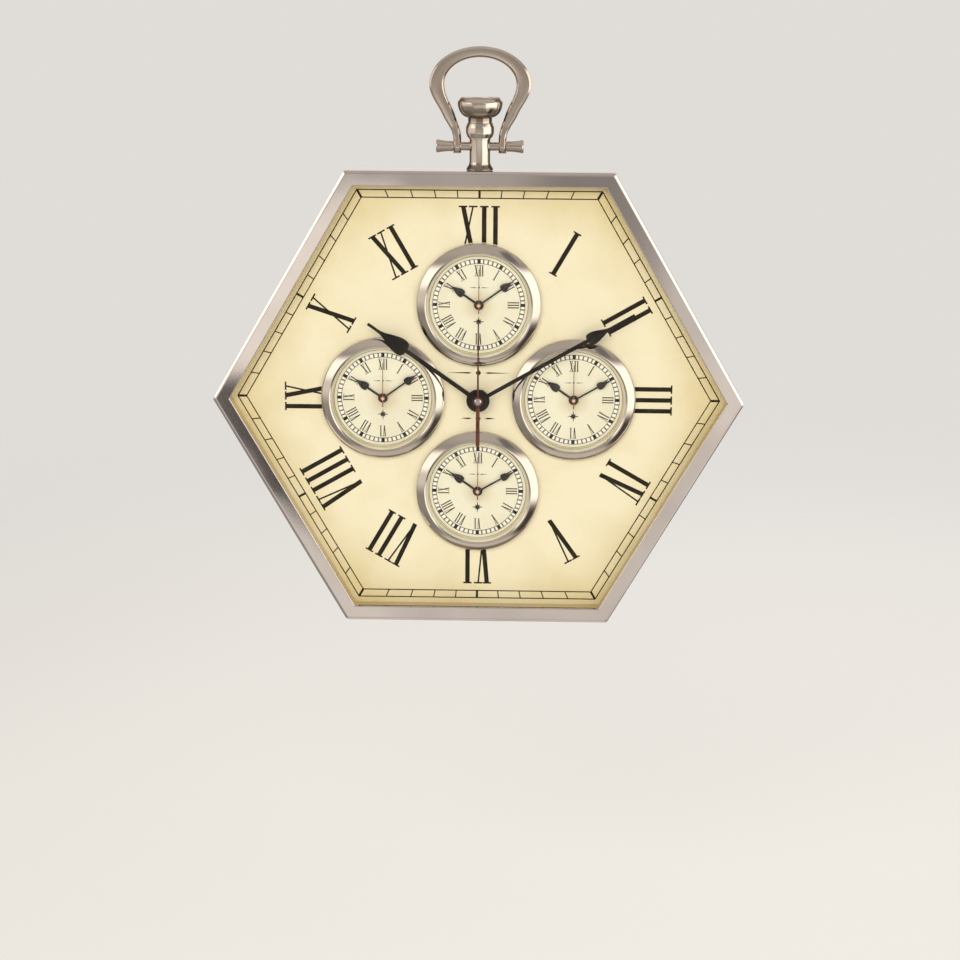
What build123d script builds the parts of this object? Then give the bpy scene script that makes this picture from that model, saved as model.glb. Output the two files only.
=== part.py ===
from build123d import *
from math import cos, pi, radians, sin, sqrt
import os

os.makedirs("parts", exist_ok=True)

# World time wall clock: a hexagonal pocket-watch case with one large dial and four insert clocks.
# Millimetres. +X is to the viewer's right, +Z is up, and the front looks along -Y. The pieces are
# drawn round the dial's centre, with heights in front of the dial face and depths behind it. They
# are written with the origin at the hook hole, on the back of the hanger.

# Rim of the case
case_corner_radius = 153.0      # dial centre to the rim's outer corner
rim_face_width = 8.2            # width of the flat front strip
rim_height = 9.0                # front strip in front of the dial face
rim_depth = 8.0                 # rim wall behind the dial face
rim_wall = 5.5                  # thickness of that wall
rim_corner_round = 2.5
rim_edge_round = 2.0
rim_lip_round = 0.8
dial_fit = 0.3                  # gap between the rim and what sits inside it

# Dial
dial_sheet_thickness = 0.4
dial_plate_thickness = 2.5
print_thickness = 0.08
track_inset = 3.3               # outer line of the minute track inside the rim's opening
track_width = 5.0
track_line = 0.6
minute_tick = 0.6
hour_tick = 1.3
numeral_height = 28.0
numeral_gap = 4.0               # between the track and the tops of the numerals

# Roman letters, as shares of the numeral's height
stem_share = 0.093
hairline_share = 0.034
serif_share = 0.175
serif_thickness_share = 0.032
letter_gap_share = 0.045
letter_widths = {"I": 0.185, "V": 0.36, "X": 0.38}
numerals = ["XII", "I", "II", "III", "IV", "V", "VI", "VII", "VIII", "IX", "X", "XI"]

# Ornaments that fill the plain places of the dials
upper_ornament_width = 36.0
upper_ornament_height = 15.0
lower_ornament_width = 20.0
lower_ornament_depth = 12.0
ornament_diamond = 4.2
ornament_rule = 0.9

# Back
cover_sheet = 1.2
cover_edge_inset = 0.8
pan_inset = 15.5                # pan wall inside the rim's outer flat
pan_back_depth = 21.0           # back of the pan behind the dial face
pan_corner_round = 8.0
pan_edge_round = 3.0
spacer_width = 9.0
window_gap = 2.0                # round the movement in the pan's window
insert_window_radius = 20.5
screw_inset = 3.2               # screw line inside the rim's outer flat
screw_radius = 1.25
screw_length = 6.0
screw_head_radius = 2.3
screw_head_height = 1.6
screw_fit = 0.03
screw_pass_fit = 0.25
bumper_radius = 6.0
bumper_height = 5.0
bumper_inset = 16.0             # bumper ring inside the pan's flat
bumper_angles = (38, 142, 218, 322)
hanger_width = 54.0
hanger_tall = 16.0
hanger_sheet = 1.5
hanger_lift = 2.5               # gap under the raised bridge
hanger_bridge = 22.0
hanger_foot = 12.0
hanger_drop = 20.0              # middle of the strap below the pan's top flat
hanger_hole_radius = 4.5

# Pendant
stem_back = 0.5                 # stem axis behind the dial face
stem_radius = 5.8
stud_radius = 2.5
stud_length = 4.4
foot_radius = 7.6
foot_edge = 0.8
foot_height = 3.6
ring_start = 17.5
ring_radius = 6.2
collar_start = 18.4
collar_end = 26.7
collar_radius = 7.9
collar_shoulder = 7.1
neck_radius = 6.7
neck_end = 29.6
spigot_radius = 3.0
spigot_length = 6.0
crown_base_radius = 6.5
crown_radius = 12.6
crown_widest = 8.1              # above the crown's base
crown_height = 11.2
crown_dome = 0.6
pin_up = 13.2
pin_radius = 2.4
pin_half_length = 24.6
pin_end_radius = 3.7
pin_end_waist = 2.95
pin_end_overlap = 5.0           # how far the rod goes into each end
bail_half_width = 28.6
bail_inner_half_width = 20.3
bail_widest_up = 34.8           # above the pin
bail_top_rise = 21.2
bail_inner_rise = 15.2
bail_thickness = 5.0
bail_edge = 0.9
bail_leg_inner = 10.6
bail_leg_width = 4.3
bail_leg_straight = 4.0
bail_waist_out = (21.2, 18.0)
bail_waist_in = (14.1, 17.4)
bail_eye_radius = 3.9
eye_gap = 0.3

# Movement
movement_side = 56.0
movement_depth = 16.0
movement_corner_round = 3.0
housing_wall = 1.5
front_housing_depth = 8.0
gasket_thickness = 0.6
gasket_side = 30.0
bush_radius = 4.0
bush_flange_radius = 6.0
bush_flange_thickness = 0.8
bush_height = 3.4               # bush in front of the dial face
nut_flat = 4.9
nut_thickness = 2.0
battery_radius = 7.25
battery_length = 49.0
battery_nub_radius = 2.75
battery_nub_length = 1.4
bay_fit = 0.25
bay_centre_down = 19.0
bay_floor = 1.1
contact_thickness = 0.5
contact_side = 9.0
partition = 1.2

# Hands: levels are the heights of their undersides
hand_thickness = 0.5
hour_level = 6.5
minute_level = 7.7
second_level = 8.9
second_thickness = 0.35
rest_hour = 10
rest_minute = 10
hour_shape = {
    "length": 77.5,
    "shaft": 3.2,
    "bulb_base": 50.4,
    "bulb_widest": 55.0,
    "bulb_width": 9.4,
    "tip_start": 67.0,
    "tip": 1.2,
    "boss": 6.0,
}
minute_shape = {
    "length": 103.0,
    "shaft": 2.8,
    "bulb_base": 72.2,
    "bulb_widest": 75.6,
    "bulb_width": 6.9,
    "tip_start": 86.0,
    "tip": 1.0,
    "boss": 5.0,
}
second_length = 47.0
second_tail = 26.5
second_tail_width = 2.2
second_tip_width = 0.7
second_boss_radius = 2.4
second_cap_radius = 2.1
second_cap_height = 1.1

# Arbors and wheels
hour_pipe_radius = 2.7
cannon_radius = 1.75
second_arbor_radius = 0.8
pivot_radius = 0.5
pivot_seat = 0.8
knob_shaft_radius = 1.4
knob_radius = 6.0
knob_height = 3.0
knob_lift = 0.3
knurl_depth = 0.4
motion_post_radius = 0.8
running_fit = 0.06
push_fit = 0.02
mesh_clearance = 0.1            # between the tips of two wheels in mesh
tooth_depth = 0.45
wheel_thickness = 0.8
layer_gap = 0.3
third_distance = 10.8
third_angle = 150.0
intermediate_distance = 10.8
rotor_distance = 8.4
rotor_angle = 30.0
motion_distance = 9.0
knob_angle = 60.0
magnet_radius = 2.4
magnet_length = 1.6
stator_thickness = 0.8
stator_gap = 0.6
stator_half_width = 7.2
stator_leg = 2.5
stator_below = 3.4
stator_window_start = 4.0
stator_window_end = 16.3
stator_top = 20.0
stator_post_up = 10.0
coil_radius = 3.2
coil_flange_radius = 3.6
coil_flange = 0.6
coil_fit = 0.1
post_radius = 1.0
board_width = 17.0
board_tall = 13.0
board_thickness = 0.8
board_spot = (-15.5, 18.5)
board_layer = 15.0
board_chip_radius = 3.0
board_chip_height = 0.7

# Insert clocks
insert_ring_radius = 55.1
bezel_radius = 35.6
bezel_wall = 3.0
bezel_crest = 6.0
bezel_crest_outer = 31.3
bezel_crest_inner = 30.8
bezel_chamfer = 0.5
lens_radius = 30.1
lens_thickness = 0.9
bezel_fit = 0.1
bezel_bulge = 0.15
lens_seat = 4.6
reflector_radius = 29.0
cup_flange = 0.8
cup_radius = 25.0
cup_wall = 1.2
cup_depth = 16.2
insert_hole_fit = 0.2
small_dial_thickness = 0.3
small_dial_hole = 2.0
module_radius = 20.0
module_front = 1.0
retainer_width = 1.5
retainer_length = 4.0
cell_radius = 5.8
cell_length = 5.4
cell_fit = 0.1
cell_down = 12.0
lid_radius = 6.9
lid_height = 1.6
lid_slot_width = 1.4
lid_slot_depth = 0.7
small_track_radius = 26.6
small_track_inner = 23.8
small_track_line = 0.35
small_minute_tick = 0.8
small_hour_tick = 1.9
small_numeral_height = 6.4
small_numeral_outer = 23.0
small_ornament_width = 12.0
small_ornament_up = 10.0
small_ornament_diamond = 1.6
small_ornament_rule = 0.45
small_star_radius = 3.4
small_star_down = 9.8
small_hand_thickness = 0.3
small_hour_level = 2.0
small_minute_level = 2.8
small_second_level = 3.5
small_second_thickness = 0.2
small_hour_shape = {
    "length": 22.5,
    "shaft": 1.3,
    "bulb_base": 10.5,
    "bulb_widest": 12.6,
    "bulb_width": 4.6,
    "tip_start": 17.2,
    "tip": 0.6,
    "boss": 2.8,
}
small_minute_shape = {
    "length": 24.5,
    "shaft": 1.0,
    "bulb_base": 15.8,
    "bulb_widest": 17.7,
    "bulb_width": 3.8,
    "tip_start": 21.8,
    "tip": 0.5,
    "boss": 2.3,
}
small_second_length = 21.0
small_second_tail = 5.0
small_second_width = 0.45
small_hour_pipe = 1.6
small_cannon = 1.05
small_arbor = 0.5
small_cap_radius = 1.4
small_cap_height = 0.5
bore_step = 2.2                 # each insert bore goes this much deeper than the one round it
bore_spare = 0.2
small_knob_radius = 5.0
small_knob_height = 2.5
small_knob_shaft = 1.0
small_knob_reach = 3.0
insert_minutes = {"top": 9, "right": 10, "bottom": 10, "left": 9}

# Worked out from the sizes above
hex_ratio = cos(radians(30))
case_flat = case_corner_radius * hex_ratio
opening_flat = case_flat - rim_face_width
pocket_flat = case_flat - rim_wall
dial_flat = pocket_flat - dial_fit
cover_flat = case_flat - cover_edge_inset
pan_flat = case_flat - pan_inset
hanger_up = pan_flat - hanger_drop
track_flat = opening_flat - track_inset
numeral_outer_radius = track_flat - track_width - numeral_gap
dial_back = dial_sheet_thickness + dial_plate_thickness
screw_ring = (case_flat - screw_inset) / hex_ratio
movement_front = dial_back + gasket_thickness
movement_back = movement_front + movement_depth
housing_split = movement_front + front_housing_depth
front_floor = movement_front + housing_wall
rear_floor = movement_back - housing_wall
hook_depth = pan_back_depth + hanger_lift + hanger_sheet
bay_radius = battery_radius + bay_fit
bay_top = bay_radius - bay_centre_down
battery_depth = movement_front + bay_floor + bay_radius
pin_height = case_flat + pin_up
insert_hole_radius = cup_radius + insert_hole_fit
cup_inner_radius = cup_radius - cup_wall
cup_floor = cup_depth - cup_wall
small_dial_face = cup_flange + small_dial_thickness
bezel_bore = lens_radius + bezel_fit
insert_places = {
    "top": (0, insert_ring_radius),
    "right": (insert_ring_radius, 0),
    "bottom": (0, -insert_ring_radius),
    "left": (-insert_ring_radius, 0),
}
insert_spots = [(x, 0, z) for x, z in insert_places.values()]

# Wheel layers, each a depth behind the dial face, from the front of the movement to its back
hour_layer = front_floor + layer_gap
motion_layer = hour_layer + wheel_thickness + layer_gap
centre_layer = motion_layer + wheel_thickness + layer_gap
third_layer = centre_layer + wheel_thickness + layer_gap
seconds_layer = third_layer + wheel_thickness + layer_gap
intermediate_layer = seconds_layer + wheel_thickness + layer_gap
magnet_layer = intermediate_layer + wheel_thickness + layer_gap


# A point at a distance and an anticlockwise angle from another point
def polar(start, distance, angle):
    return (start[0] + distance * cos(radians(angle)), start[1] + distance * sin(radians(angle)))


centre_axis = (0, 0)
third_axis = polar(centre_axis, third_distance, third_angle)
intermediate_axis = polar(centre_axis, intermediate_distance, 0)
rotor_axis = polar(intermediate_axis, rotor_distance, rotor_angle)
motion_axis = polar(centre_axis, motion_distance, 90)
knob_axis = polar(motion_axis, motion_distance, knob_angle)


# A plane that faces the viewer, at a height in front of the dial, turned clockwise about a spot
def face_plane(height, spot=(0, 0), turn=0.0):
    turned = radians(turn)
    return Plane(
        origin=(spot[0], -height, spot[1]), x_dir=(cos(turned), 0, -sin(turned)), z_dir=(0, -1, 0)
    )


# Move a finished piece so that the hook hole is the origin, name it and write its file
def save(piece, name):
    placed = piece.moved(Location((0, -hook_depth, -hanger_up)))
    placed.label = name
    export_step(placed, f"parts/{name}.step")


# A flat-topped hexagon on the sketch in hand, given from its centre to a flat
def hexagon(flat, mode=Mode.ADD):
    RegularPolygon(flat, 6, major_radius=False, mode=mode)


# Places on a dial, clockwise from twelve, each turned so that its top points outwards
def dial_places(radius, angles):
    return [
        Location((radius * sin(radians(a)), radius * cos(radians(a)), 0), (0, 0, -a)) for a in angles
    ]


# One piece repeated at the four insert clocks
def at_inserts(piece):
    with BuildPart() as group:
        with Locations(*insert_spots):
            add(piece)
    return group.part


# A straight stroke of a letter: a slanted bar between the top and the bottom line
def slanted_stroke(top_x, bottom_x, half_width, top):
    Polygon(
        (top_x - half_width, top),
        (top_x + half_width, top),
        (bottom_x + half_width, -top),
        (bottom_x - half_width, -top),
        align=None,
    )


# A Roman numeral, centred, with thick and thin strokes and flat serifs
def roman_numeral(letters, height):
    top = height / 2
    thick = height * stem_share / 2
    thin = height * hairline_share / 2
    serif = height * serif_share
    serif_thickness = height * serif_thickness_share
    gap = height * letter_gap_share
    widths = [letter_widths[letter] * height for letter in letters]
    left = -(sum(widths) + gap * (len(widths) - 1)) / 2
    with BuildSketch() as numeral:
        for letter, width in zip(letters, widths):
            middle = left + width / 2
            reach = (width - serif) / 2
            if letter == "I":
                slanted_stroke(middle, middle, thick, top)
                serifs = [(middle, 1), (middle, -1)]
            elif letter == "V":
                slanted_stroke(middle - reach, middle, thick, top)
                slanted_stroke(middle + reach, middle, thin, top)
                serifs = [(middle - reach, 1), (middle + reach, 1)]
            else:
                slanted_stroke(middle - reach, middle + reach, thick, top)
                slanted_stroke(middle + reach, middle - reach, thin, top)
                serifs = [(middle + side * reach, end) for side in (-1, 1) for end in (-1, 1)]
            with Locations(*[(x, end * (top - serif_thickness / 2)) for x, end in serifs]):
                Rectangle(serif, serif_thickness)
            left += width + gap
    return numeral.sketch


# Twelve numerals round a dial
def numeral_ring(outer_radius, height):
    for hour, letters in enumerate(numerals):
        with Locations(*dial_places(outer_radius - height / 2, [30 * hour])):
            add(roman_numeral(letters, height))


# A diamond between two rules that taper outwards
def diamond_rule(width, diamond, rule):
    half = diamond / 2
    start = diamond * 0.9
    with BuildSketch() as ornament:
        Polygon((0, half), (half * 0.75, 0), (0, -half), (-half * 0.75, 0), align=None)
        for side in (-1, 1):
            Polygon(
                (side * start, 0),
                (side * start * 1.5, rule / 2),
                (side * width / 2, 0),
                (side * start * 1.5, -rule / 2),
                align=None,
            )
    return ornament.sketch


# An eight-pointed compass star
def compass_star(radius):
    reaches = (1.0, 0.32, 0.6, 0.32)
    points = [
        (radius * reaches[k % 4] * sin(k * pi / 8), radius * reaches[k % 4] * cos(k * pi / 8))
        for k in range(16)
    ]
    with BuildSketch() as star:
        Polygon(*points, align=None)
    return star.sketch


# A spade hand pointing up: straight shaft, round-based bulb, hollow taper and thin tip
def spade_hand(length, shaft, bulb_base, bulb_widest, bulb_width, tip_start, tip, boss):
    with BuildSketch() as hand:
        with BuildLine():
            Polyline((0, 0), (shaft / 2, 0), (shaft / 2, bulb_base))
            Spline(
                (shaft / 2, bulb_base),
                (bulb_width / 2, bulb_widest),
                tangents=((1, 0.25), (0, 1)),
            )
            Spline((bulb_width / 2, bulb_widest), (tip / 2, tip_start), tangents=((0, 1), (0, 1)))
            Polyline((tip / 2, tip_start), (tip / 2, length), (0, length), (0, 0))
        make_face()
        mirror(about=Plane.YZ)
        Circle(boss)
    return hand.sketch


# A toothed disc; the teeth stop just short of the pitch circle, so wheels clear at every angle
def toothed_disc(pitch_radius, teeth, depth=tooth_depth):
    tip = pitch_radius - mesh_clearance / 2
    step = 2 * pi / teeth
    points = []
    for tooth in range(teeth):
        for share, radius in ((0.05, tip - depth), (0.3, tip), (0.6, tip), (0.85, tip - depth)):
            angle = (tooth + share) * step
            points.append((radius * cos(angle), radius * sin(angle)))
    with BuildSketch() as disc:
        with BuildLine():
            Polyline(*points, close=True)
        make_face()
    return disc.sketch


# Pitch radii of two meshed wheels at a given distance
def pitch_radii(distance, teeth, mate_teeth):
    share = distance / (teeth + mate_teeth)
    return share * teeth, share * mate_teeth


# A round stretch along the clock's depth; heights in front of the dial are positive
def add_rod(axis, radius, from_height, to_height, mode=Mode.ADD):
    with BuildSketch(face_plane(from_height, axis)) as end:
        Circle(radius)
    extrude(end.sketch, amount=to_height - from_height, mode=mode)


# A wheel on the arbor at a depth, between that depth and one thickness behind it
def add_wheel(axis, depth, pitch_radius, teeth, thickness=wheel_thickness):
    with BuildSketch(face_plane(-depth, axis)) as blank:
        add(toothed_disc(pitch_radius, teeth))
    extrude(blank.sketch, amount=-thickness)


# An arbor with pivots at both ends, in the blind holes of the two housings
def add_arbor(axis):
    reach = pivot_seat - running_fit
    add_rod(axis, pivot_radius, reach - front_floor, -(rear_floor + reach))


# Case rim: a cast hexagonal ring with a front strip, a wall and a pocket for the dial
with BuildPart() as case_frame:
    with BuildSketch(face_plane(-rim_depth)):
        hexagon(case_flat)
        fillet(vertices(), rim_corner_round)
        hexagon(pocket_flat, mode=Mode.SUBTRACT)
    extrude(amount=rim_depth)
    with BuildSketch(face_plane(0)):
        hexagon(case_flat)
        fillet(vertices(), rim_corner_round)
        hexagon(opening_flat, mode=Mode.SUBTRACT)
    extrude(amount=rim_height)
    fillet(faces().sort_by(Axis.Y)[0].outer_wire().edges(), rim_edge_round)
    fillet(faces().sort_by(Axis.Y)[0].inner_wires()[0].edges(), rim_lip_round)
    with BuildSketch(face_plane(-rim_depth)):
        with PolarLocations(screw_ring, 6):
            Circle(screw_radius + screw_fit)
    extrude(amount=screw_length, mode=Mode.SUBTRACT)
    with BuildSketch(Plane((0, stem_back, case_flat), z_dir=(0, 0, 1))):
        Circle(stud_radius + push_fit)
    extrude(amount=-(stud_length + push_fit), mode=Mode.SUBTRACT)
save(case_frame.part, "case_frame")

# Printed dial sheet on a stiff plate, both pierced for the bush and the four inserts
def pierced_hexagon():
    hexagon(dial_flat)
    Circle(bush_radius + push_fit, mode=Mode.SUBTRACT)
    with Locations(*insert_places.values()):
        Circle(insert_hole_radius, mode=Mode.SUBTRACT)


with BuildPart() as dial_sheet:
    with BuildSketch(face_plane(0)):
        pierced_hexagon()
    extrude(amount=-dial_sheet_thickness)
save(dial_sheet.part, "dial_sheet")

with BuildPart() as dial_plate:
    with BuildSketch(face_plane(-dial_sheet_thickness)):
        pierced_hexagon()
    extrude(amount=-dial_plate_thickness)
save(dial_plate.part, "dial_plate")

# Printing on the dial sheet: minute track, numerals and two ornaments, open under the bezels
with BuildPart() as dial_print:
    with BuildSketch(face_plane(0)):
        hexagon(track_flat)
        hexagon(track_flat - track_line, mode=Mode.SUBTRACT)
        hexagon(track_flat - track_width + track_line)
        hexagon(track_flat - track_width, mode=Mode.SUBTRACT)
        for lean in range(-30, 30, 6):
            slant = cos(radians(lean))
            width = hour_tick if lean in (-30, 0) else minute_tick
            middle = (track_flat - track_width / 2) / slant
            with Locations(*dial_places(middle, [60 * side + lean for side in range(6)])):
                Rectangle(width, track_width / slant)
        hexagon(track_flat, mode=Mode.INTERSECT)
        numeral_ring(numeral_outer_radius, numeral_height)
        with Locations((0, upper_ornament_height)):
            add(diamond_rule(upper_ornament_width, ornament_diamond, ornament_rule))
        with Locations((0, -lower_ornament_depth)):
            add(diamond_rule(lower_ornament_width, ornament_diamond, ornament_rule))
        with Locations(*insert_places.values()):
            Circle(bezel_radius + dial_fit, mode=Mode.SUBTRACT)
    extrude(amount=print_thickness)
save(dial_print.part, "dial_print")

# Spacer ring that presses the dial against the rim when the cover goes on
with BuildPart() as dial_spacer:
    with BuildSketch(face_plane(-dial_back)):
        hexagon(dial_flat)
        hexagon(dial_flat - spacer_width, mode=Mode.SUBTRACT)
    extrude(amount=-(rim_depth - dial_back))
save(dial_spacer.part, "dial_spacer")

# Rear cover: a flanged sheet-metal pan with windows at the movement and the inserts
hanger_screw_spots = [
    (side * (hanger_width - hanger_foot) / 2, hanger_up) for side in (-1, 1)
]
with BuildPart() as rear_cover:
    with BuildSketch(face_plane(-rim_depth)):
        hexagon(pan_flat)
        fillet(vertices(), pan_corner_round)
    extrude(amount=-(pan_back_depth - rim_depth))
    fillet(faces().sort_by(Axis.Y)[-1].edges(), pan_edge_round)
    offset(amount=-cover_sheet, openings=faces().sort_by(Axis.Y)[0])
    with BuildSketch(face_plane(-rim_depth)):
        hexagon(cover_flat)
        fillet(vertices(), rim_corner_round)
        hexagon(pan_flat - cover_sheet / 2, mode=Mode.SUBTRACT)
        with PolarLocations(screw_ring, 6):
            Circle(screw_radius + screw_pass_fit, mode=Mode.SUBTRACT)
    extrude(amount=-cover_sheet)
    with BuildSketch(face_plane(-pan_back_depth)):
        window = movement_side + 2 * window_gap
        RectangleRounded(window, window, movement_corner_round)
        with Locations(*insert_places.values()):
            Circle(insert_window_radius)
        with Locations(*hanger_screw_spots):
            Circle(screw_radius + screw_pass_fit)
    extrude(amount=cover_sheet, mode=Mode.SUBTRACT)
save(rear_cover.part, "rear_cover")

# Hanger: a strap with a raised bridge and a round hole for the wall hook
with BuildPart() as hanger_plate:
    with BuildSketch(Plane.XY.offset(hanger_up - hanger_tall / 2)):
        half_strap = [
            (hanger_bridge / 2, pan_back_depth + hanger_lift),
            (hanger_width / 2 - hanger_foot, pan_back_depth),
            (hanger_width / 2, pan_back_depth),
        ]
        left_strap = [(-x, y) for x, y in reversed(half_strap)]
        under_side = left_strap + half_strap
        back_side = [(x, y + hanger_sheet) for x, y in reversed(under_side)]
        Polygon(*under_side, *back_side, align=None)
    extrude(amount=hanger_tall)
    with BuildSketch(face_plane(-hook_depth, (0, hanger_up))):
        Circle(hanger_hole_radius)
    extrude(amount=hanger_sheet, mode=Mode.SUBTRACT)
    with BuildSketch(face_plane(-(pan_back_depth + hanger_sheet))):
        with Locations(*hanger_screw_spots):
            Circle(screw_radius + screw_pass_fit)
    extrude(amount=hanger_sheet, mode=Mode.SUBTRACT)
save(hanger_plate.part, "hanger_plate")

# Cross-head screws: six hold the cover at the corners of the rim, two hold the hanger
with BuildPart() as one_screw:
    add_rod(centre_axis, screw_radius, 0, screw_length)
    add_rod(centre_axis, screw_head_radius, 0, -screw_head_height)
    fillet(faces().sort_by(Axis.Y)[-1].edges(), screw_head_height / 2)
    with BuildSketch(face_plane(-screw_head_height)):
        Rectangle(screw_head_radius, screw_head_radius / 4)
        Rectangle(screw_head_radius / 4, screw_head_radius)
    extrude(amount=screw_head_height / 2, mode=Mode.SUBTRACT)
with BuildPart() as cover_screws:
    corners = [polar(centre_axis, screw_ring, 60 * side) for side in range(6)]
    with Locations(*[(x, rim_depth + cover_sheet, z) for x, z in corners]):
        add(one_screw.part)
    with Locations(*[(x, pan_back_depth + hanger_sheet, z) for x, z in hanger_screw_spots]):
        add(one_screw.part)
save(cover_screws.part, "cover_screws")

# Rubber bumpers that keep the back off the wall
with BuildPart() as wall_bumpers:
    with BuildSketch(face_plane(-pan_back_depth)):
        with Locations(*[polar(centre_axis, pan_flat - bumper_inset, a) for a in bumper_angles]):
            Circle(bumper_radius)
    extrude(amount=-bumper_height)
    fillet(faces().group_by(Axis.Y)[-1].edges(), bumper_height / 5)
save(wall_bumpers.part, "wall_bumpers")

# Pendant stem: a turned neck with a flared foot, a collar and a spigot for the crown
pendant_axis = Axis((0, stem_back, 0), (0, 0, 1))
pendant_plane = Plane((0, stem_back, case_flat), x_dir=(1, 0, 0), z_dir=(0, -1, 0))
pin_plane = Plane((0, stem_back, pin_height), x_dir=(0, 1, 0), z_dir=(1, 0, 0))
with BuildPart() as pendant_stem:
    with BuildSketch(pendant_plane):
        with BuildLine():
            Polyline(
                (0, -stud_length),
                (stud_radius, -stud_length),
                (stud_radius, 0),
                (foot_radius, 0),
                (foot_radius, foot_edge),
            )
            Spline(
                (foot_radius, foot_edge),
                (stem_radius, foot_height),
                tangents=((-1, 0.4), (0, 1)),
            )
            Polyline(
                (stem_radius, foot_height),
                (stem_radius, ring_start),
                (ring_radius, ring_start),
                (ring_radius, collar_start),
                (collar_shoulder, collar_start),
            )
            ThreePointArc(
                (collar_shoulder, collar_start),
                (collar_radius, (collar_start + collar_end) / 2),
                (collar_shoulder, collar_end),
            )
            Polyline(
                (collar_shoulder, collar_end),
                (neck_radius, collar_end),
                (neck_radius, neck_end),
                (spigot_radius, neck_end),
                (spigot_radius, neck_end + spigot_length),
                (0, neck_end + spigot_length),
                (0, -stud_length),
            )
        make_face()
    revolve(axis=pendant_axis)
    with BuildSketch(pin_plane):
        Circle(pin_radius + push_fit)
    extrude(amount=stem_radius, both=True, mode=Mode.SUBTRACT)
save(pendant_stem.part, "pendant_stem")

# Crown: a polished bowl with a low dome, seated on the neck
with BuildPart() as crown:
    with BuildSketch(pendant_plane):
        with BuildLine():
            Line((spigot_radius + push_fit, neck_end), (crown_base_radius, neck_end))
            ThreePointArc(
                (crown_base_radius, neck_end),
                (
                    crown_base_radius + 0.72 * (crown_radius - crown_base_radius),
                    neck_end + 0.42 * crown_widest,
                ),
                (crown_radius, neck_end + crown_widest),
            )
            Spline(
                (crown_radius, neck_end + crown_widest),
                (0.8 * crown_radius, neck_end + crown_height),
                (0, neck_end + crown_height + crown_dome),
                tangents=((0, 1), (-1, 0)),
            )
            Polyline(
                (0, neck_end + crown_height + crown_dome),
                (0, neck_end + spigot_length + push_fit),
                (spigot_radius + push_fit, neck_end + spigot_length + push_fit),
                (spigot_radius + push_fit, neck_end),
            )
        make_face()
    revolve(axis=pendant_axis)
save(crown.part, "crown")

# Cross pin: a rod through the stem with a flared end screwed on each side
bail_leg_outer = bail_leg_inner + bail_leg_width
pin_end_start = bail_leg_outer + eye_gap
rod_half = pin_end_start + pin_end_overlap
pin_axis = Axis((0, stem_back, pin_height), (1, 0, 0))
with BuildPart() as pin_end:
    with BuildSketch(Plane((0, stem_back, pin_height), x_dir=(1, 0, 0), z_dir=(0, -1, 0))):
        with BuildLine():
            Line((pin_end_start, pin_radius + push_fit), (pin_end_start, pin_end_waist))
            Spline(
                (pin_end_start, pin_end_waist),
                (pin_half_length, pin_end_radius),
                tangents=((1, 0), (1, 0.35)),
            )
            Polyline(
                (pin_half_length, pin_end_radius),
                (pin_half_length, 0),
                (rod_half + push_fit, 0),
                (rod_half + push_fit, pin_radius + push_fit),
                (pin_end_start, pin_radius + push_fit),
            )
        make_face()
    revolve(axis=pin_axis)
with BuildPart() as bail_pin:
    with BuildSketch(pin_plane):
        Circle(pin_radius)
    extrude(amount=rod_half, both=True)
    add(pin_end.part)
    add(mirror(pin_end.part, about=Plane.YZ, mode=Mode.PRIVATE))
save(bail_pin.part, "bail_pin")

# Bail: a flat bow with flared shoulders and an eye on each leg
bail_plane = Plane((0, stem_back, pin_height), x_dir=(1, 0, 0), z_dir=(0, -1, 0))
with BuildPart() as bail:
    with BuildSketch(bail_plane):
        with BuildLine():
            EllipticalCenterArc(
                (0, bail_widest_up), bail_half_width, bail_top_rise, start_angle=0, arc_size=90
            )
            Spline(
                (bail_half_width, bail_widest_up),
                bail_waist_out,
                (bail_leg_outer, bail_leg_straight),
                tangents=((0, -1), (0, -1)),
            )
            Polyline(
                (bail_leg_outer, bail_leg_straight),
                (bail_leg_outer, 0),
                (bail_leg_inner, 0),
                (bail_leg_inner, bail_leg_straight),
            )
            Spline(
                (bail_leg_inner, bail_leg_straight),
                bail_waist_in,
                (bail_inner_half_width, bail_widest_up),
                tangents=((0, 1), (0, 1)),
            )
            EllipticalCenterArc(
                (0, bail_widest_up), bail_inner_half_width, bail_inner_rise, start_angle=0, arc_size=90
            )
            Line((0, bail_widest_up + bail_inner_rise), (0, bail_widest_up + bail_top_rise))
        make_face()
        mirror(about=Plane.YZ)
    extrude(amount=bail_thickness / 2, both=True)
    chamfer(faces().sort_by(Axis.Y)[0].edges(), bail_edge)
    chamfer(faces().sort_by(Axis.Y)[-1].edges(), bail_edge)
    for side in (-1, 1):
        eye_plane = Plane(
            (side * bail_leg_inner, stem_back, pin_height), x_dir=(0, 1, 0), z_dir=(side, 0, 0)
        )
        with BuildSketch(eye_plane):
            Circle(bail_eye_radius)
        extrude(amount=bail_leg_width)
    with BuildSketch(pin_plane):
        Circle(pin_radius + running_fit)
    extrude(amount=bail_leg_outer, both=True, mode=Mode.SUBTRACT)
save(bail.part, "bail")

# Movement housings: two plastic half boxes with the gear space above and the battery bay below
cavity_side = movement_side - 2 * housing_wall
cavity_bottom = bay_top + partition
cavity_tall = cavity_side / 2 - cavity_bottom
bay_tall = cavity_side / 2 + bay_top
stator_layer = magnet_layer + (magnet_length - stator_thickness) / 2
stator_posts = [
    (rotor_axis[0] + side * (stator_half_width - stator_leg / 2), rotor_axis[1] + stator_post_up)
    for side in (-1, 1)
]
board_posts = [
    (board_spot[0] + side * (board_width / 2 - 2 * post_radius), board_spot[1] + board_tall / 3)
    for side in (-1, 1)
]
pivot_axes = [third_axis, intermediate_axis, rotor_axis]


def gear_space():
    with Locations((0, cavity_bottom + cavity_tall / 2)):
        Rectangle(cavity_side, cavity_tall)


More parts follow.
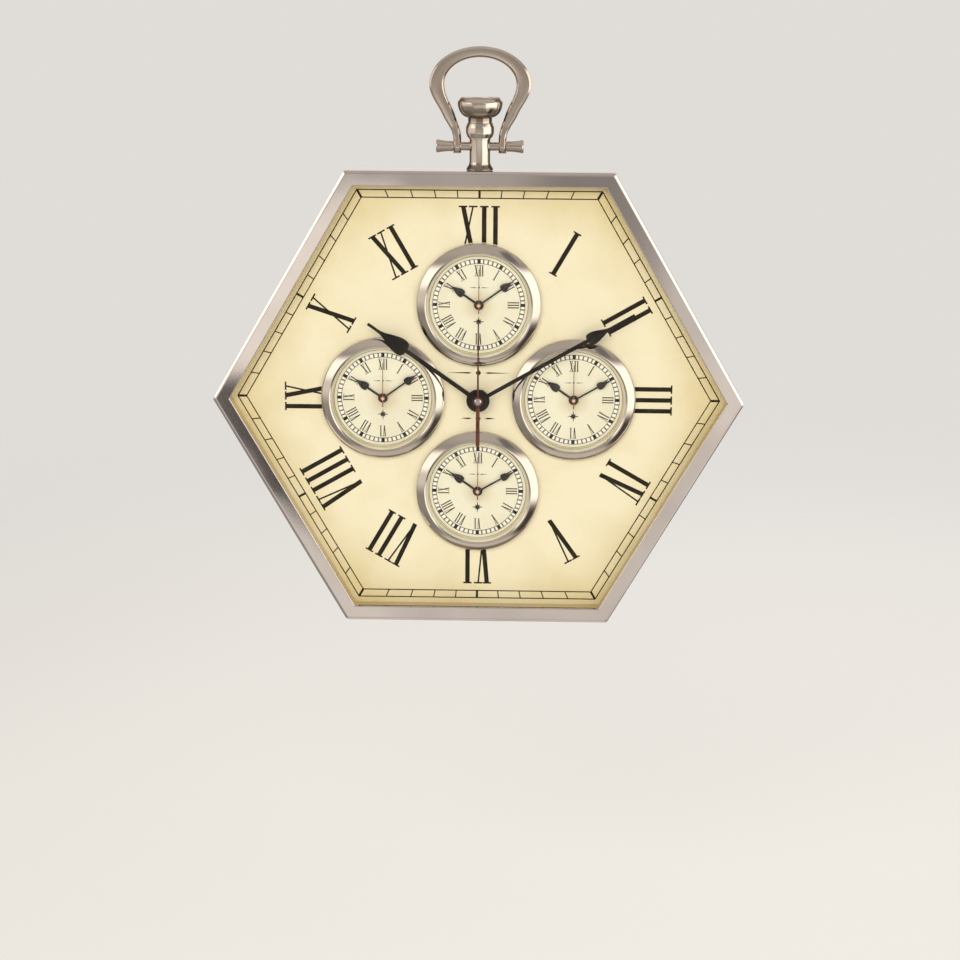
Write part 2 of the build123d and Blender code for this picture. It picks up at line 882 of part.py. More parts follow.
def battery_bay():
    with Locations((0, bay_top - bay_tall / 2)):
        Rectangle(cavity_side, bay_tall)


with BuildPart() as front_housing:
    with BuildSketch(face_plane(-movement_front)):
        RectangleRounded(movement_side, movement_side, movement_corner_round)
    extrude(amount=-front_housing_depth)
    with BuildSketch(face_plane(-front_floor)):
        gear_space()
    extrude(amount=front_floor - housing_split, mode=Mode.SUBTRACT)
    with BuildSketch(face_plane(-movement_front - bay_floor)):
        battery_bay()
    extrude(amount=bay_floor - front_housing_depth, mode=Mode.SUBTRACT)
    flange_front = bush_flange_thickness - front_floor
    add_rod(centre_axis, bush_radius + push_fit, -movement_front, -front_floor, Mode.SUBTRACT)
    add_rod(centre_axis, bush_flange_radius + push_fit, flange_front, -front_floor, Mode.SUBTRACT)
    for axis in pivot_axes + [knob_axis]:
        add_rod(axis, pivot_radius + running_fit, pivot_seat - front_floor, -front_floor, Mode.SUBTRACT)
    add_rod(motion_axis, motion_post_radius, -front_floor, -motion_layer - wheel_thickness)
    for spot in stator_posts:
        add_rod(spot, post_radius, -front_floor, -stator_layer)
    for spot in board_posts:
        add_rod(spot, post_radius, -front_floor, -board_layer)
save(front_housing.part, "front_housing")

with BuildPart() as rear_housing:
    with BuildSketch(face_plane(-housing_split)):
        RectangleRounded(movement_side, movement_side, movement_corner_round)
    extrude(amount=housing_split - movement_back)
    fillet(faces().sort_by(Axis.Y)[-1].edges(), housing_wall / 2)
    with BuildSketch(face_plane(-housing_split)):
        gear_space()
    extrude(amount=housing_split - rear_floor, mode=Mode.SUBTRACT)
    with BuildSketch(face_plane(-housing_split)):
        battery_bay()
    extrude(amount=housing_split - movement_back, mode=Mode.SUBTRACT)
    for axis in pivot_axes + [centre_axis]:
        add_rod(axis, pivot_radius + running_fit, -rear_floor, -rear_floor - pivot_seat, Mode.SUBTRACT)
    add_rod(knob_axis, knob_shaft_radius + running_fit, -rear_floor, -movement_back, Mode.SUBTRACT)
    for spot in stator_posts:
        add_rod(spot, post_radius, -rear_floor, -stator_layer - stator_thickness)
    for spot in board_posts:
        add_rod(spot, post_radius, -rear_floor, -board_layer - board_thickness)
save(rear_housing.part, "rear_housing")

# Bush, nut and gasket that clamp the movement to the dial
with BuildPart() as centre_bush:
    add_rod(centre_axis, bush_flange_radius, bush_flange_thickness - front_floor, -front_floor)
    add_rod(centre_axis, bush_radius, -front_floor, bush_height)
    add_rod(centre_axis, hour_pipe_radius + running_fit, -front_floor, bush_height, Mode.SUBTRACT)
save(centre_bush.part, "centre_bush")

with BuildPart() as bush_nut:
    with BuildSketch(face_plane(0)):
        hexagon(nut_flat)
        Circle(bush_radius + push_fit, mode=Mode.SUBTRACT)
    extrude(amount=nut_thickness)
save(bush_nut.part, "bush_nut")

with BuildPart() as movement_gasket:
    with BuildSketch(face_plane(-dial_back)):
        RectangleRounded(gasket_side, gasket_side, movement_corner_round)
        Circle(bush_radius + push_fit, mode=Mode.SUBTRACT)
    extrude(amount=-gasket_thickness)
save(movement_gasket.part, "movement_gasket")

# Stepping motor: stator plate, coil on its top bar, and the magnet rotor in its hole
with BuildPart() as stator_plate:
    with BuildSketch(face_plane(-stator_layer, rotor_axis)):
        with Locations((0, (stator_top - stator_below) / 2)):
            Rectangle(2 * stator_half_width, stator_top + stator_below)
        with Locations((0, (stator_window_start + stator_window_end) / 2)):
            window_width = 2 * (stator_half_width - stator_leg)
            Rectangle(window_width, stator_window_end - stator_window_start, mode=Mode.SUBTRACT)
        Circle(magnet_radius + stator_gap, mode=Mode.SUBTRACT)
    extrude(amount=-stator_thickness)
save(stator_plate.part, "stator_plate")

coil_length = 2 * (stator_half_width - stator_leg - coil_fit)
bar_tall = stator_top - stator_window_end
coil_plane = Plane(
    (rotor_axis[0], stator_layer + stator_thickness / 2, rotor_axis[1] + stator_top - bar_tall / 2),
    x_dir=(0, 1, 0),
    z_dir=(1, 0, 0),
)
with BuildPart() as coil:
    with BuildSketch(coil_plane):
        Circle(coil_radius)
    extrude(amount=coil_length / 2, both=True)
    for start in (-coil_length / 2, coil_length / 2 - coil_flange):
        with BuildSketch(coil_plane.offset(start)):
            Circle(coil_flange_radius)
        extrude(amount=coil_flange)
    with BuildSketch(coil_plane):
        Rectangle(stator_thickness + 2 * coil_fit, bar_tall + 2 * coil_fit)
    extrude(amount=coil_length / 2, both=True, mode=Mode.SUBTRACT)
save(coil.part, "coil")

rotor_pitch, intermediate_pitch = pitch_radii(rotor_distance, 8, 48)
with BuildPart() as rotor:
    add_arbor(rotor_axis)
    add_wheel(rotor_axis, intermediate_layer, rotor_pitch, 8, magnet_layer - intermediate_layer)
    add_rod(rotor_axis, magnet_radius, -magnet_layer, -magnet_layer - magnet_length)
save(rotor.part, "rotor")

# Going train: rotor, intermediate wheel, seconds wheel, third wheel, centre wheel
intermediate_pinion, seconds_pitch = pitch_radii(intermediate_distance, 8, 40)
with BuildPart() as intermediate_wheel:
    add_arbor(intermediate_axis)
    add_wheel(intermediate_axis, intermediate_layer, intermediate_pitch, 48)
    pinion_length = intermediate_layer - seconds_layer
    add_wheel(intermediate_axis, seconds_layer, intermediate_pinion, 8, pinion_length)
save(intermediate_wheel.part, "intermediate_wheel")

seconds_pinion, third_pitch = pitch_radii(third_distance, 8, 64)
second_top = second_level + second_thickness
with BuildPart() as seconds_wheel:
    add_wheel(centre_axis, seconds_layer, seconds_pitch, 40)
    add_wheel(centre_axis, third_layer, seconds_pinion, 8, seconds_layer - third_layer)
    add_rod(centre_axis, second_arbor_radius, second_top, -seconds_layer)
    add_rod(centre_axis, pivot_radius, -seconds_layer, -rear_floor - pivot_seat + running_fit)
save(seconds_wheel.part, "seconds_wheel")

third_pinion, centre_pitch = pitch_radii(third_distance, 8, 60)
with BuildPart() as third_wheel:
    add_arbor(third_axis)
    add_wheel(third_axis, third_layer, third_pitch, 64)
    add_wheel(third_axis, centre_layer, third_pinion, 8, third_layer - centre_layer)
save(third_wheel.part, "third_wheel")

cannon_pinion, motion_pitch = pitch_radii(motion_distance, 12, 36)
minute_top = minute_level + hand_thickness
with BuildPart() as centre_wheel:
    add_wheel(centre_axis, centre_layer, centre_pitch, 60)
    add_wheel(centre_axis, motion_layer, cannon_pinion, 12, centre_layer - motion_layer)
    add_rod(centre_axis, cannon_radius, minute_top, -centre_layer)
    bore = second_arbor_radius + running_fit
    add_rod(centre_axis, bore, minute_top, -centre_layer - wheel_thickness, Mode.SUBTRACT)
save(centre_wheel.part, "centre_wheel")

# Motion work: motion wheel on its post, and the hour wheel with its pipe
motion_pinion, hour_pitch = pitch_radii(motion_distance, 10, 40)
with BuildPart() as motion_wheel:
    add_wheel(motion_axis, motion_layer, motion_pitch, 36)
    add_wheel(motion_axis, hour_layer, motion_pinion, 10, motion_layer - hour_layer)
    bore = motion_post_radius + running_fit
    add_rod(motion_axis, bore, -hour_layer, -motion_layer - wheel_thickness, Mode.SUBTRACT)
save(motion_wheel.part, "motion_wheel")

hour_top = hour_level + hand_thickness
with BuildPart() as hour_wheel:
    add_wheel(centre_axis, hour_layer, hour_pitch, 40)
    add_rod(centre_axis, hour_pipe_radius, hour_top, -hour_layer)
    bore = cannon_radius + running_fit
    add_rod(centre_axis, bore, hour_top, -hour_layer - wheel_thickness, Mode.SUBTRACT)
save(hour_wheel.part, "hour_wheel")

# Setting knob on the back, with a pinion in mesh with the motion wheel
with BuildPart() as set_knob:
    knob_front = movement_back + knob_lift
    add_rod(knob_axis, pivot_radius, pivot_seat - running_fit - front_floor, -motion_layer)
    add_wheel(knob_axis, motion_layer, cannon_pinion, 12)
    add_rod(knob_axis, knob_shaft_radius, -motion_layer - wheel_thickness, -knob_front)
    with BuildSketch(face_plane(-knob_front, knob_axis)):
        add(toothed_disc(knob_radius, 30, knurl_depth))
    extrude(amount=-knob_height)
save(set_knob.part, "set_knob")

# Circuit board, battery and its contacts
with BuildPart() as circuit_board:
    with BuildSketch(face_plane(-board_layer, board_spot)):
        Rectangle(board_width, board_tall)
    extrude(amount=-board_thickness)
    add_rod(board_spot, board_chip_radius, -board_layer, board_chip_height - board_layer)
save(circuit_board.part, "circuit_board")

battery_total = battery_length + battery_nub_length
battery_plane = Plane(
    (-battery_total / 2, battery_depth, -bay_centre_down), x_dir=(0, 1, 0), z_dir=(1, 0, 0)
)
with BuildPart() as battery:
    with BuildSketch(battery_plane):
        Circle(battery_radius)
    extrude(amount=battery_length)
    fillet(edges(), battery_nub_length / 2)
    with BuildSketch(battery_plane):
        Circle(battery_nub_radius)
    extrude(amount=battery_total)
save(battery.part, "battery")

contact_reach = cavity_side / 2 - battery_total / 2 - running_fit
with BuildPart() as battery_contacts:
    for side in (-1, 1):
        wall_plane = Plane(
            (side * cavity_side / 2, battery_depth, -bay_centre_down),
            x_dir=(0, 1, 0),
            z_dir=(-side, 0, 0),
        )
        with BuildSketch(wall_plane):
            Rectangle(contact_side, contact_side)
        extrude(amount=contact_thickness)
        with BuildSketch(wall_plane):
            Circle(battery_nub_radius / 2)
        extrude(amount=contact_reach)
save(battery_contacts.part, "battery_contacts")

# Large hands
minute_turn = 6 * rest_minute
hour_turn = 30 * rest_hour + rest_minute / 2
with BuildPart() as hour_hand:
    with BuildSketch(face_plane(hour_level, turn=hour_turn)):
        add(spade_hand(**hour_shape))
        Circle(hour_pipe_radius + push_fit, mode=Mode.SUBTRACT)
    extrude(amount=hand_thickness)
save(hour_hand.part, "hour_hand")

with BuildPart() as minute_hand:
    with BuildSketch(face_plane(minute_level, turn=minute_turn)):
        add(spade_hand(**minute_shape))
        Circle(cannon_radius + push_fit, mode=Mode.SUBTRACT)
    extrude(amount=hand_thickness)
save(minute_hand.part, "minute_hand")

with BuildPart() as second_hand:
    with BuildSketch(face_plane(second_level)):
        Polygon(
            (-second_tip_width / 2, second_length),
            (second_tip_width / 2, second_length),
            (second_tail_width / 4, 0),
            (second_tail_width / 2, -second_tail / 4),
            (second_tail_width / 2, -second_tail),
            (-second_tail_width / 2, -second_tail),
            (-second_tail_width / 2, -second_tail / 4),
            (-second_tail_width / 4, 0),
            align=None,
        )
        Circle(second_boss_radius)
        Circle(second_arbor_radius + push_fit, mode=Mode.SUBTRACT)
    extrude(amount=second_thickness)
save(second_hand.part, "second_hand")

with BuildPart() as second_hand_cap:
    add_rod(centre_axis, second_cap_radius, second_top, second_top + second_cap_height)
    fillet(faces().sort_by(Axis.Y)[0].edges(), 0.8 * second_cap_height)
save(second_hand_cap.part, "second_hand_cap")

# Insert clocks: one of each still piece, repeated at the four places
clock_axis = Axis((0, 0, 0), (0, 1, 0))
lens_bore = lens_radius + push_fit
with BuildPart() as one_bezel:
    with BuildSketch(Plane.XY):
        with BuildLine():
            Polyline((bezel_bore, 0), (bezel_radius, 0), (bezel_radius, -bezel_wall))
            slope = (bezel_radius - bezel_crest_outer, bezel_crest - bezel_wall)
            steep = sqrt(slope[0] ** 2 + slope[1] ** 2)
            ThreePointArc(
                (bezel_radius, -bezel_wall),
                (
                    (bezel_radius + bezel_crest_outer) / 2 + bezel_bulge * slope[1] / steep,
                    -(bezel_wall + bezel_crest) / 2 - bezel_bulge * slope[0] / steep,
                ),
                (bezel_crest_outer, -bezel_crest),
            )
            Polyline(
                (bezel_crest_outer, -bezel_crest),
                (bezel_crest_inner, -bezel_crest),
                (lens_bore, bezel_chamfer - bezel_crest),
                (lens_bore, -lens_seat),
                (reflector_radius, -lens_seat),
                (reflector_radius, -small_dial_face),
                (bezel_bore, -small_dial_face),
                (bezel_bore, 0),
            )
        make_face()
    revolve(axis=clock_axis)
save(at_inserts(one_bezel.part), "insert_bezels")

with BuildPart() as one_lens:
    add_rod(centre_axis, lens_radius, lens_seat, lens_seat + lens_thickness)
save(at_inserts(one_lens.part), "insert_lenses")

small_knob_pass = small_knob_shaft + insert_hole_fit
with BuildPart() as one_cup:
    add_rod(centre_axis, lens_radius, cup_flange, 0)
    add_rod(centre_axis, cup_radius, 0, -cup_depth)
    fillet(faces().sort_by(Axis.Y)[-1].edges(), cup_wall / 2)
    add_rod(centre_axis, cup_inner_radius, cup_flange, -cup_floor, Mode.SUBTRACT)
    add_rod(centre_axis, small_knob_pass, -cup_floor, -cup_depth, Mode.SUBTRACT)
    add_rod((0, -cell_down), lid_radius + push_fit, -cup_floor, -cup_depth, Mode.SUBTRACT)
save(at_inserts(one_cup.part), "insert_cups")

with BuildPart() as one_dial:
    add_rod(centre_axis, lens_radius, cup_flange, small_dial_face)
    add_rod(centre_axis, small_dial_hole, cup_flange, small_dial_face, Mode.SUBTRACT)
save(at_inserts(one_dial.part), "insert_dials")

small_track_middle = (small_track_radius + small_track_inner) / 2
small_track_width = small_track_radius - small_track_inner
with BuildPart() as one_print:
    with BuildSketch(face_plane(small_dial_face)):
        Circle(small_track_radius)
        Circle(small_track_radius - small_track_line, mode=Mode.SUBTRACT)
        Circle(small_track_inner + small_track_line)
        Circle(small_track_inner, mode=Mode.SUBTRACT)
        with PolarLocations(small_track_middle, 60):
            Rectangle(small_track_width - small_track_line, small_minute_tick)
        with PolarLocations(small_track_middle, 12):
            Rectangle(small_track_width - small_track_line, small_hour_tick)
        numeral_ring(small_numeral_outer, small_numeral_height)
        with Locations((0, small_ornament_up)):
            add(diamond_rule(small_ornament_width, small_ornament_diamond, small_ornament_rule))
        with Locations((0, -small_star_down)):
            add(compass_star(small_star_radius))
    extrude(amount=print_thickness)
save(at_inserts(one_print.part), "insert_prints")

with BuildPart() as one_retainer:
    add_rod(centre_axis, cup_radius + retainer_width, -dial_back, -dial_back - retainer_length)
    bore = cup_radius + push_fit
    add_rod(centre_axis, bore, -dial_back, -dial_back - retainer_length, Mode.SUBTRACT)
save(at_inserts(one_retainer.part), "insert_retainers")

hour_bore_end = module_front + bore_step
cannon_bore_end = hour_bore_end + bore_step
arbor_bore_end = cannon_bore_end + bore_step
with BuildPart() as one_module:
    add_rod(centre_axis, module_radius, -module_front, -cup_floor)
    add_rod(centre_axis, small_hour_pipe + running_fit, -module_front, -hour_bore_end, Mode.SUBTRACT)
    add_rod(centre_axis, small_cannon + running_fit, -hour_bore_end, -cannon_bore_end, Mode.SUBTRACT)
    add_rod(centre_axis, small_arbor + running_fit, -cannon_bore_end, -arbor_bore_end, Mode.SUBTRACT)
    knob_bore_end = cup_floor - small_knob_reach - bore_spare
    add_rod(centre_axis, small_knob_shaft + running_fit, -knob_bore_end, -cup_floor, Mode.SUBTRACT)
    pocket_end = cup_floor - cell_length - cell_fit
    add_rod((0, -cell_down), cell_radius + cell_fit, -pocket_end, -cup_floor, Mode.SUBTRACT)
save(at_inserts(one_module.part), "insert_modules")

with BuildPart() as one_cell:
    add_rod((0, -cell_down), cell_radius, -pocket_end, -pocket_end - cell_length)
save(at_inserts(one_cell.part), "insert_cells")

with BuildPart() as one_lid:
    add_rod((0, -cell_down), lid_radius, -cup_floor, -cup_floor - lid_height)
    with BuildSketch(face_plane(-cup_floor - lid_height, (0, -cell_down))):
        Rectangle(1.4 * lid_radius, lid_slot_width)
    extrude(amount=lid_slot_depth, mode=Mode.SUBTRACT)
save(at_inserts(one_lid.part), "insert_lids")

# Hands and setting knob of each insert
for name, spot in insert_places.items():
    minutes = insert_minutes[name]
    with BuildPart() as small_hour_hand:
        top = small_hour_level + small_hand_thickness
        with BuildSketch(face_plane(small_hour_level, spot, 30 * rest_hour + minutes / 2)):
            add(spade_hand(**small_hour_shape))
        extrude(amount=small_hand_thickness)
        add_rod(spot, small_hour_pipe, small_hour_level, bore_spare - hour_bore_end)
        add_rod(spot, small_cannon + running_fit, top, bore_spare - hour_bore_end, Mode.SUBTRACT)
    save(small_hour_hand.part, f"{name}_hour_hand")

    with BuildPart() as small_minute_hand:
        top = small_minute_level + small_hand_thickness
        with BuildSketch(face_plane(small_minute_level, spot, 6 * minutes)):
            add(spade_hand(**small_minute_shape))
        extrude(amount=small_hand_thickness)
        add_rod(spot, small_cannon, small_minute_level, bore_spare - cannon_bore_end)
        add_rod(spot, small_arbor + running_fit, top, bore_spare - cannon_bore_end, Mode.SUBTRACT)
    save(small_minute_hand.part, f"{name}_minute_hand")

    with BuildPart() as small_second_hand:
        top = small_second_level + small_second_thickness
        with BuildSketch(face_plane(small_second_level, spot)):
            with Locations((0, (small_second_length - small_second_tail) / 2)):
                Rectangle(small_second_width, small_second_length + small_second_tail)
            Circle(small_cap_radius)
        extrude(amount=small_second_thickness)
        add_rod(spot, small_cap_radius, top, top + small_cap_height)
        fillet(faces().sort_by(Axis.Y)[0].edges(), 0.6 * small_cap_height)
        add_rod(spot, small_arbor, small_second_level, bore_spare - arbor_bore_end)
    save(small_second_hand.part, f"{name}_second_hand")

    with BuildPart() as small_knob:
        knob_front = cup_depth + knob_lift
        add_rod(spot, small_knob_shaft, small_knob_reach - cup_floor, -knob_front)
        with BuildSketch(face_plane(-knob_front, spot)):
            add(toothed_disc(small_knob_radius, 24, knurl_depth))
        extrude(amount=-small_knob_height)
    save(small_knob.part, f"{name}_set_knob")
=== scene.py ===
from math import cos, radians, sin

import bmesh
import bpy
import numpy as np
from mathutils import Matrix


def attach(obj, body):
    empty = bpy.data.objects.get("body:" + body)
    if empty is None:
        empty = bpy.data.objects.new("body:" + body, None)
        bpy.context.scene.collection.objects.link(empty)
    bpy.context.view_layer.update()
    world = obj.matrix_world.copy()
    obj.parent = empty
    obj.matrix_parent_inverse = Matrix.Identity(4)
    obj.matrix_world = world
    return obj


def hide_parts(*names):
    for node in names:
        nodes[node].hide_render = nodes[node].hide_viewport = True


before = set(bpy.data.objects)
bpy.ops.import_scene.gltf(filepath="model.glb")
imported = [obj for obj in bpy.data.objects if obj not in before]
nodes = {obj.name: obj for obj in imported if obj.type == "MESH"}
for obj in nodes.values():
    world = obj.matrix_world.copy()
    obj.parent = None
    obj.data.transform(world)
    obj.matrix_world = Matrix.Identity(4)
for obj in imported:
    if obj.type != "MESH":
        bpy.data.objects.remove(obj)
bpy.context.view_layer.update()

# The clock's own measures are in millimetres round the dial's centre: x to the right, height in
# front of the dial face, z up. The frame's origin is the hook hole on the back of the hanger.
clock = dict(
    dialDepth=25.0,        # hook hole to the dial face
    dialDrop=97.0,         # hook hole down to the dial's centre
    insertRing=55.1,       # dial's centre to an insert's centre
    insertTurns=dict(top=0, right=90, bottom=180, left=270),
    perMetre=1000,         # millimetres in one of the frame's metres
)


def toFrame(x, height, z):
    # millimetres round the dial's centre, turned into metres in the frame
    x, height, z = np.broadcast_arrays(x, height, z)
    return np.stack([x, -clock["dialDepth"] - height, z - clock["dialDrop"]], -1) / clock["perMetre"]


def insertCentre(place):
    # x and z of an insert: its turn from twelve o'clock, on the inserts' ring
    turn = radians(clock["insertTurns"][place])
    return clock["insertRing"] * sin(turn), clock["insertRing"] * cos(turn)


def tint(red, green, blue):
    # a screen colour of 0 to 255 as the linear colour that a shader takes
    c = np.array([red, green, blue]) / 255
    c = np.where(c <= 0.04045, c / 12.92, ((c + 0.055) / 1.055) ** 2.4)
    return (*c.tolist(), 1.0)


def softened(corners, radii, steps, closed=False):
    # each corner of a line of points becomes a circle's arc that touches both of its sides:
    # a conic from side to side, weighted by the sine of half the corner's angle
    p = np.asarray(corners, float)
    r = np.broadcast_to(np.asarray(radii, float), len(p)).copy()
    before, after = np.roll(p, 1, 0), np.roll(p, -1, 0)
    if not closed:
        before[0], after[-1] = p[0] + (p[0] - p[1]), p[-1] + (p[-1] - p[-2])
        r[0] = r[-1] = 0
    a, b = before - p, after - p
    a /= np.linalg.norm(a, axis=1)[:, None]
    b /= np.linalg.norm(b, axis=1)[:, None]
    half = np.arccos(np.clip((a * b).sum(1), -1, 1)) / 2
    reach = (r / np.tan(np.maximum(half, 1e-3)))[:, None]
    s = np.linspace(0, 1, steps)[None, :, None]
    weight = 2 * np.sin(half)[:, None, None] * s * (1 - s)
    first, last = (p + a * reach)[:, None], (p + b * reach)[:, None]
    top = (1 - s) ** 2 * first + weight * p[:, None] + s ** 2 * last
    return (top / ((1 - s) ** 2 + weight + s ** 2)).reshape(-1, 2)


def hermite(first, firstPull, last, lastPull, steps):
    # a cubic from one point to another that leaves and arrives along the two pulls
    s = np.linspace(0, 1, steps)[:, None]
    first, firstPull, last, lastPull = (np.asarray(v, float) for v in (first, firstPull, last, lastPull))
    return ((2 * s ** 3 - 3 * s ** 2 + 1) * first + (s ** 3 - 2 * s ** 2 + s) * firstPull
            + (3 * s ** 2 - 2 * s ** 3) * last + (s ** 3 - s ** 2) * lastPull)


def hexRing(profile, flat, cornerRound, innerRound, cornerSteps):
    # profile points (inset from the outer flat, height) carried round a hexagon: each corner is an
    # arc about a centre on the corner's own line, and the sides are the runs between the arcs
    inset, height = np.asarray(profile, float).T[:, :, None]
    corner = np.radians(60 * np.arange(6))[:, None]
    turn = corner + np.radians(np.linspace(-30, 30, cornerSteps))[None, :]
    corner = np.broadcast_to(corner, turn.shape).reshape(1, -1)
    turn = turn.reshape(1, -1)
    bend = np.maximum(cornerRound - inset, innerRound)
    reach = (flat - inset - bend) / cos(radians(30))
    x = reach * np.cos(corner) + bend * np.cos(turn)
    z = reach * np.sin(corner) + bend * np.sin(turn)
    return toFrame(x, height, z)


def spun(profile, centre, axis, count):
    # profile points (radius, way along the axis) spun round a line through the centre
    radius, along = np.asarray(profile, float).T[:, :, None]
    turn = np.linspace(0, 2 * np.pi, count, endpoint=False)[None, :]
    a, b, along = radius * np.cos(turn), radius * np.sin(turn), along + 0 * turn
    x, height, z = centre
    if axis == "front":
        return toFrame(x + a, height + along, z + b)
    if axis == "up":
        return toFrame(x + a, height + b, z + along)
    return toFrame(x + along, height + a, z + b)


handSection = dict(edge=0.35, crown=2.0, steps=11)


def bladeSheet(line, centre, turn, base, thickness):
    # line points (half width, way along) give the rows, and the columns run round the section: a flat
    # back, and a front that falls from the full thickness in the middle to the edge share at the sides
    halfWidth, along = np.asarray(line, float).T
    w = np.concatenate([[0], halfWidth, [0]])[:, None]
    run = np.concatenate([along[:1], along, along[-1:]])[:, None]
    s = np.linspace(-1, 1, handSection["steps"])
    side = np.concatenate([s, s[::-1]])[None, :]
    edge = handSection["edge"]
    front = thickness * (edge + (1 - edge) * (1 - np.abs(s) ** handSection["crown"]))
    height = base + np.concatenate([front, 0 * s])[None, :] + 0 * run
    a = radians(turn)
    x = centre[0] + run * sin(a) + side * w * cos(a)
    z = centre[1] + run * cos(a) - side * w * sin(a)
    return toFrame(x, height, z)


def travelled(points, axis):
    # metres run along a grid's rows or columns, back to the start for a closed one
    step = np.linalg.norm(np.diff(points, axis=axis, append=points.take([0], axis)), axis=-1)
    return np.concatenate([[0], np.cumsum(step.max(1 - axis))])


meshing = dict(mergeWithin=2e-6, dropWithin=1e-7)      # metres


def addPiece(name, sheets, body, finish, replaced=(), smoothAngle=38):
    # each sheet is (grid of points, rows close), and its columns close; its UVs are metres run each way
    points, faces, uvs, start = [], [], [], 0
    for grid, closeRows in sheets:
        rows, cols = grid.shape[:2]
        r, c = np.meshgrid(np.arange(rows if closeRows else rows - 1), np.arange(cols), indexing="ij")
        r = np.stack([r, r, r + 1, r + 1], -1).reshape(-1, 4)
        c = np.stack([c, c + 1, c + 1, c], -1).reshape(-1, 4)
        faces.append(start + (r % rows) * cols + c % cols)
        uvs.append(np.stack([travelled(grid, 1)[c], travelled(grid, 0)[r]], -1).reshape(-1, 2))
        points.append(grid.reshape(-1, 3))
        start += rows * cols
    mesh = bpy.data.meshes.new(name)
    mesh.from_pydata(np.concatenate(points).tolist(), [], np.concatenate(faces).tolist())
    layer = mesh.uv_layers.new(name="run")
    layer.data.foreach_set("uv", np.concatenate(uvs).astype(np.float32).ravel())
    work = bmesh.new()
    work.from_mesh(mesh)
    bmesh.ops.remove_doubles(work, verts=work.verts, dist=meshing["mergeWithin"])
    bmesh.ops.dissolve_degenerate(work, edges=work.edges, dist=meshing["dropWithin"])
    bmesh.ops.recalc_face_normals(work, faces=work.faces)
    work.to_mesh(mesh)
    work.free()
    mesh.shade_smooth()
    mesh.set_sharp_from_angle(angle=radians(smoothAngle))
    mesh.materials.append(bpy.data.materials[finish])
    piece = bpy.data.objects.new(name, mesh)
    bpy.context.scene.collection.objects.link(piece)
    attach(piece, body)
    if replaced:
        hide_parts(*replaced)


def addNode(tree, kind, feeds=None, **settings):
    # a node with its settings made first; each socket is then linked to an output or given a plain value
    node = tree.nodes.new(kind)
    for key, value in settings.items():
        setattr(node, key, value)
    for key, value in (feeds or {}).items():
        if isinstance(value, bpy.types.NodeSocket):
            tree.links.new(value, node.inputs[key])
        else:
            node.inputs[key].default_value = value
    return node


def mathNode(tree, operation, a, b=0.0, c=0.0, clamp=False):
    feeds = {0: a, 1: b, 2: c}
    return addNode(tree, "ShaderNodeMath", feeds, operation=operation, use_clamp=clamp).outputs[0]


def ranged(tree, value, low, high, toLow=0.0, toHigh=1.0, soft=True):
    feeds = {"Value": value, "From Min": low, "From Max": high, "To Min": toLow, "To Max": toHigh}
    return addNode(tree, "ShaderNodeMapRange", feeds,
                   interpolation_type="SMOOTHSTEP" if soft else "LINEAR").outputs["Result"]


def mixed(tree, share, a, b, blend="MIX"):
    # sockets 6 and 7 of the Mix node are its two colours
    node = addNode(tree, "ShaderNodeMix", {0: share, 6: a, 7: b}, data_type="RGBA", blend_type=blend)
    return node.outputs[2]


def noiseOn(tree, vector, scale, detail=2.0, rough=0.5):
    feeds = {"Vector": vector, "Scale": scale, "Detail": detail, "Roughness": rough}
    return addNode(tree, "ShaderNodeTexNoise", feeds).outputs["Fac"]


def objectPlace(tree):
    return addNode(tree, "ShaderNodeTexCoord").outputs["Object"]


def dialPlace(tree):
    # x and z in millimetres round the dial's centre
    feeds = {"Vector": objectPlace(tree), "Location": (0, 0, clock["dialDrop"]),
             "Scale": (clock["perMetre"],) * 3}
    return addNode(tree, "ShaderNodeMapping", feeds).outputs[0]


def flatReach(tree, place, kept):
    # distance from the origin, counting only the axes that are kept
    flat = addNode(tree, "ShaderNodeVectorMath", {0: place, 1: kept}, operation="MULTIPLY").outputs[0]
    return addNode(tree, "ShaderNodeVectorMath", {0: flat}, operation="LENGTH").outputs["Value"]


def newGroup(name, inputs, outputs):
    # labels with their usual values; four parts make a colour, one a number
    group = bpy.data.node_groups.new(name, "ShaderNodeTree")
    for way, labels in (("INPUT", inputs), ("OUTPUT", outputs)):
        for label, value in labels.items():
            kind = "NodeSocketColor" if isinstance(value, tuple) else "NodeSocketFloat"
            group.interface.new_socket(label, in_out=way, socket_type=kind).default_value = value
    return group, group.nodes.new("NodeGroupInput").outputs, group.nodes.new("NodeGroupOutput").inputs


def makeMottle():
    # slow cloudy noise, spread between two values
    tree, given, out = newGroup("slowMottle", {"Scale": 40.0, "Low": 0.0, "High": 1.0}, {"Value": 0.0})
    cloud = noiseOn(tree, objectPlace(tree), given["Scale"], detail=3.0)
    spread = ranged(tree, cloud, low=0.32, high=0.68, toLow=given["Low"], toHigh=given["High"], soft=False)
    tree.links.new(spread, out["Value"])
    return tree


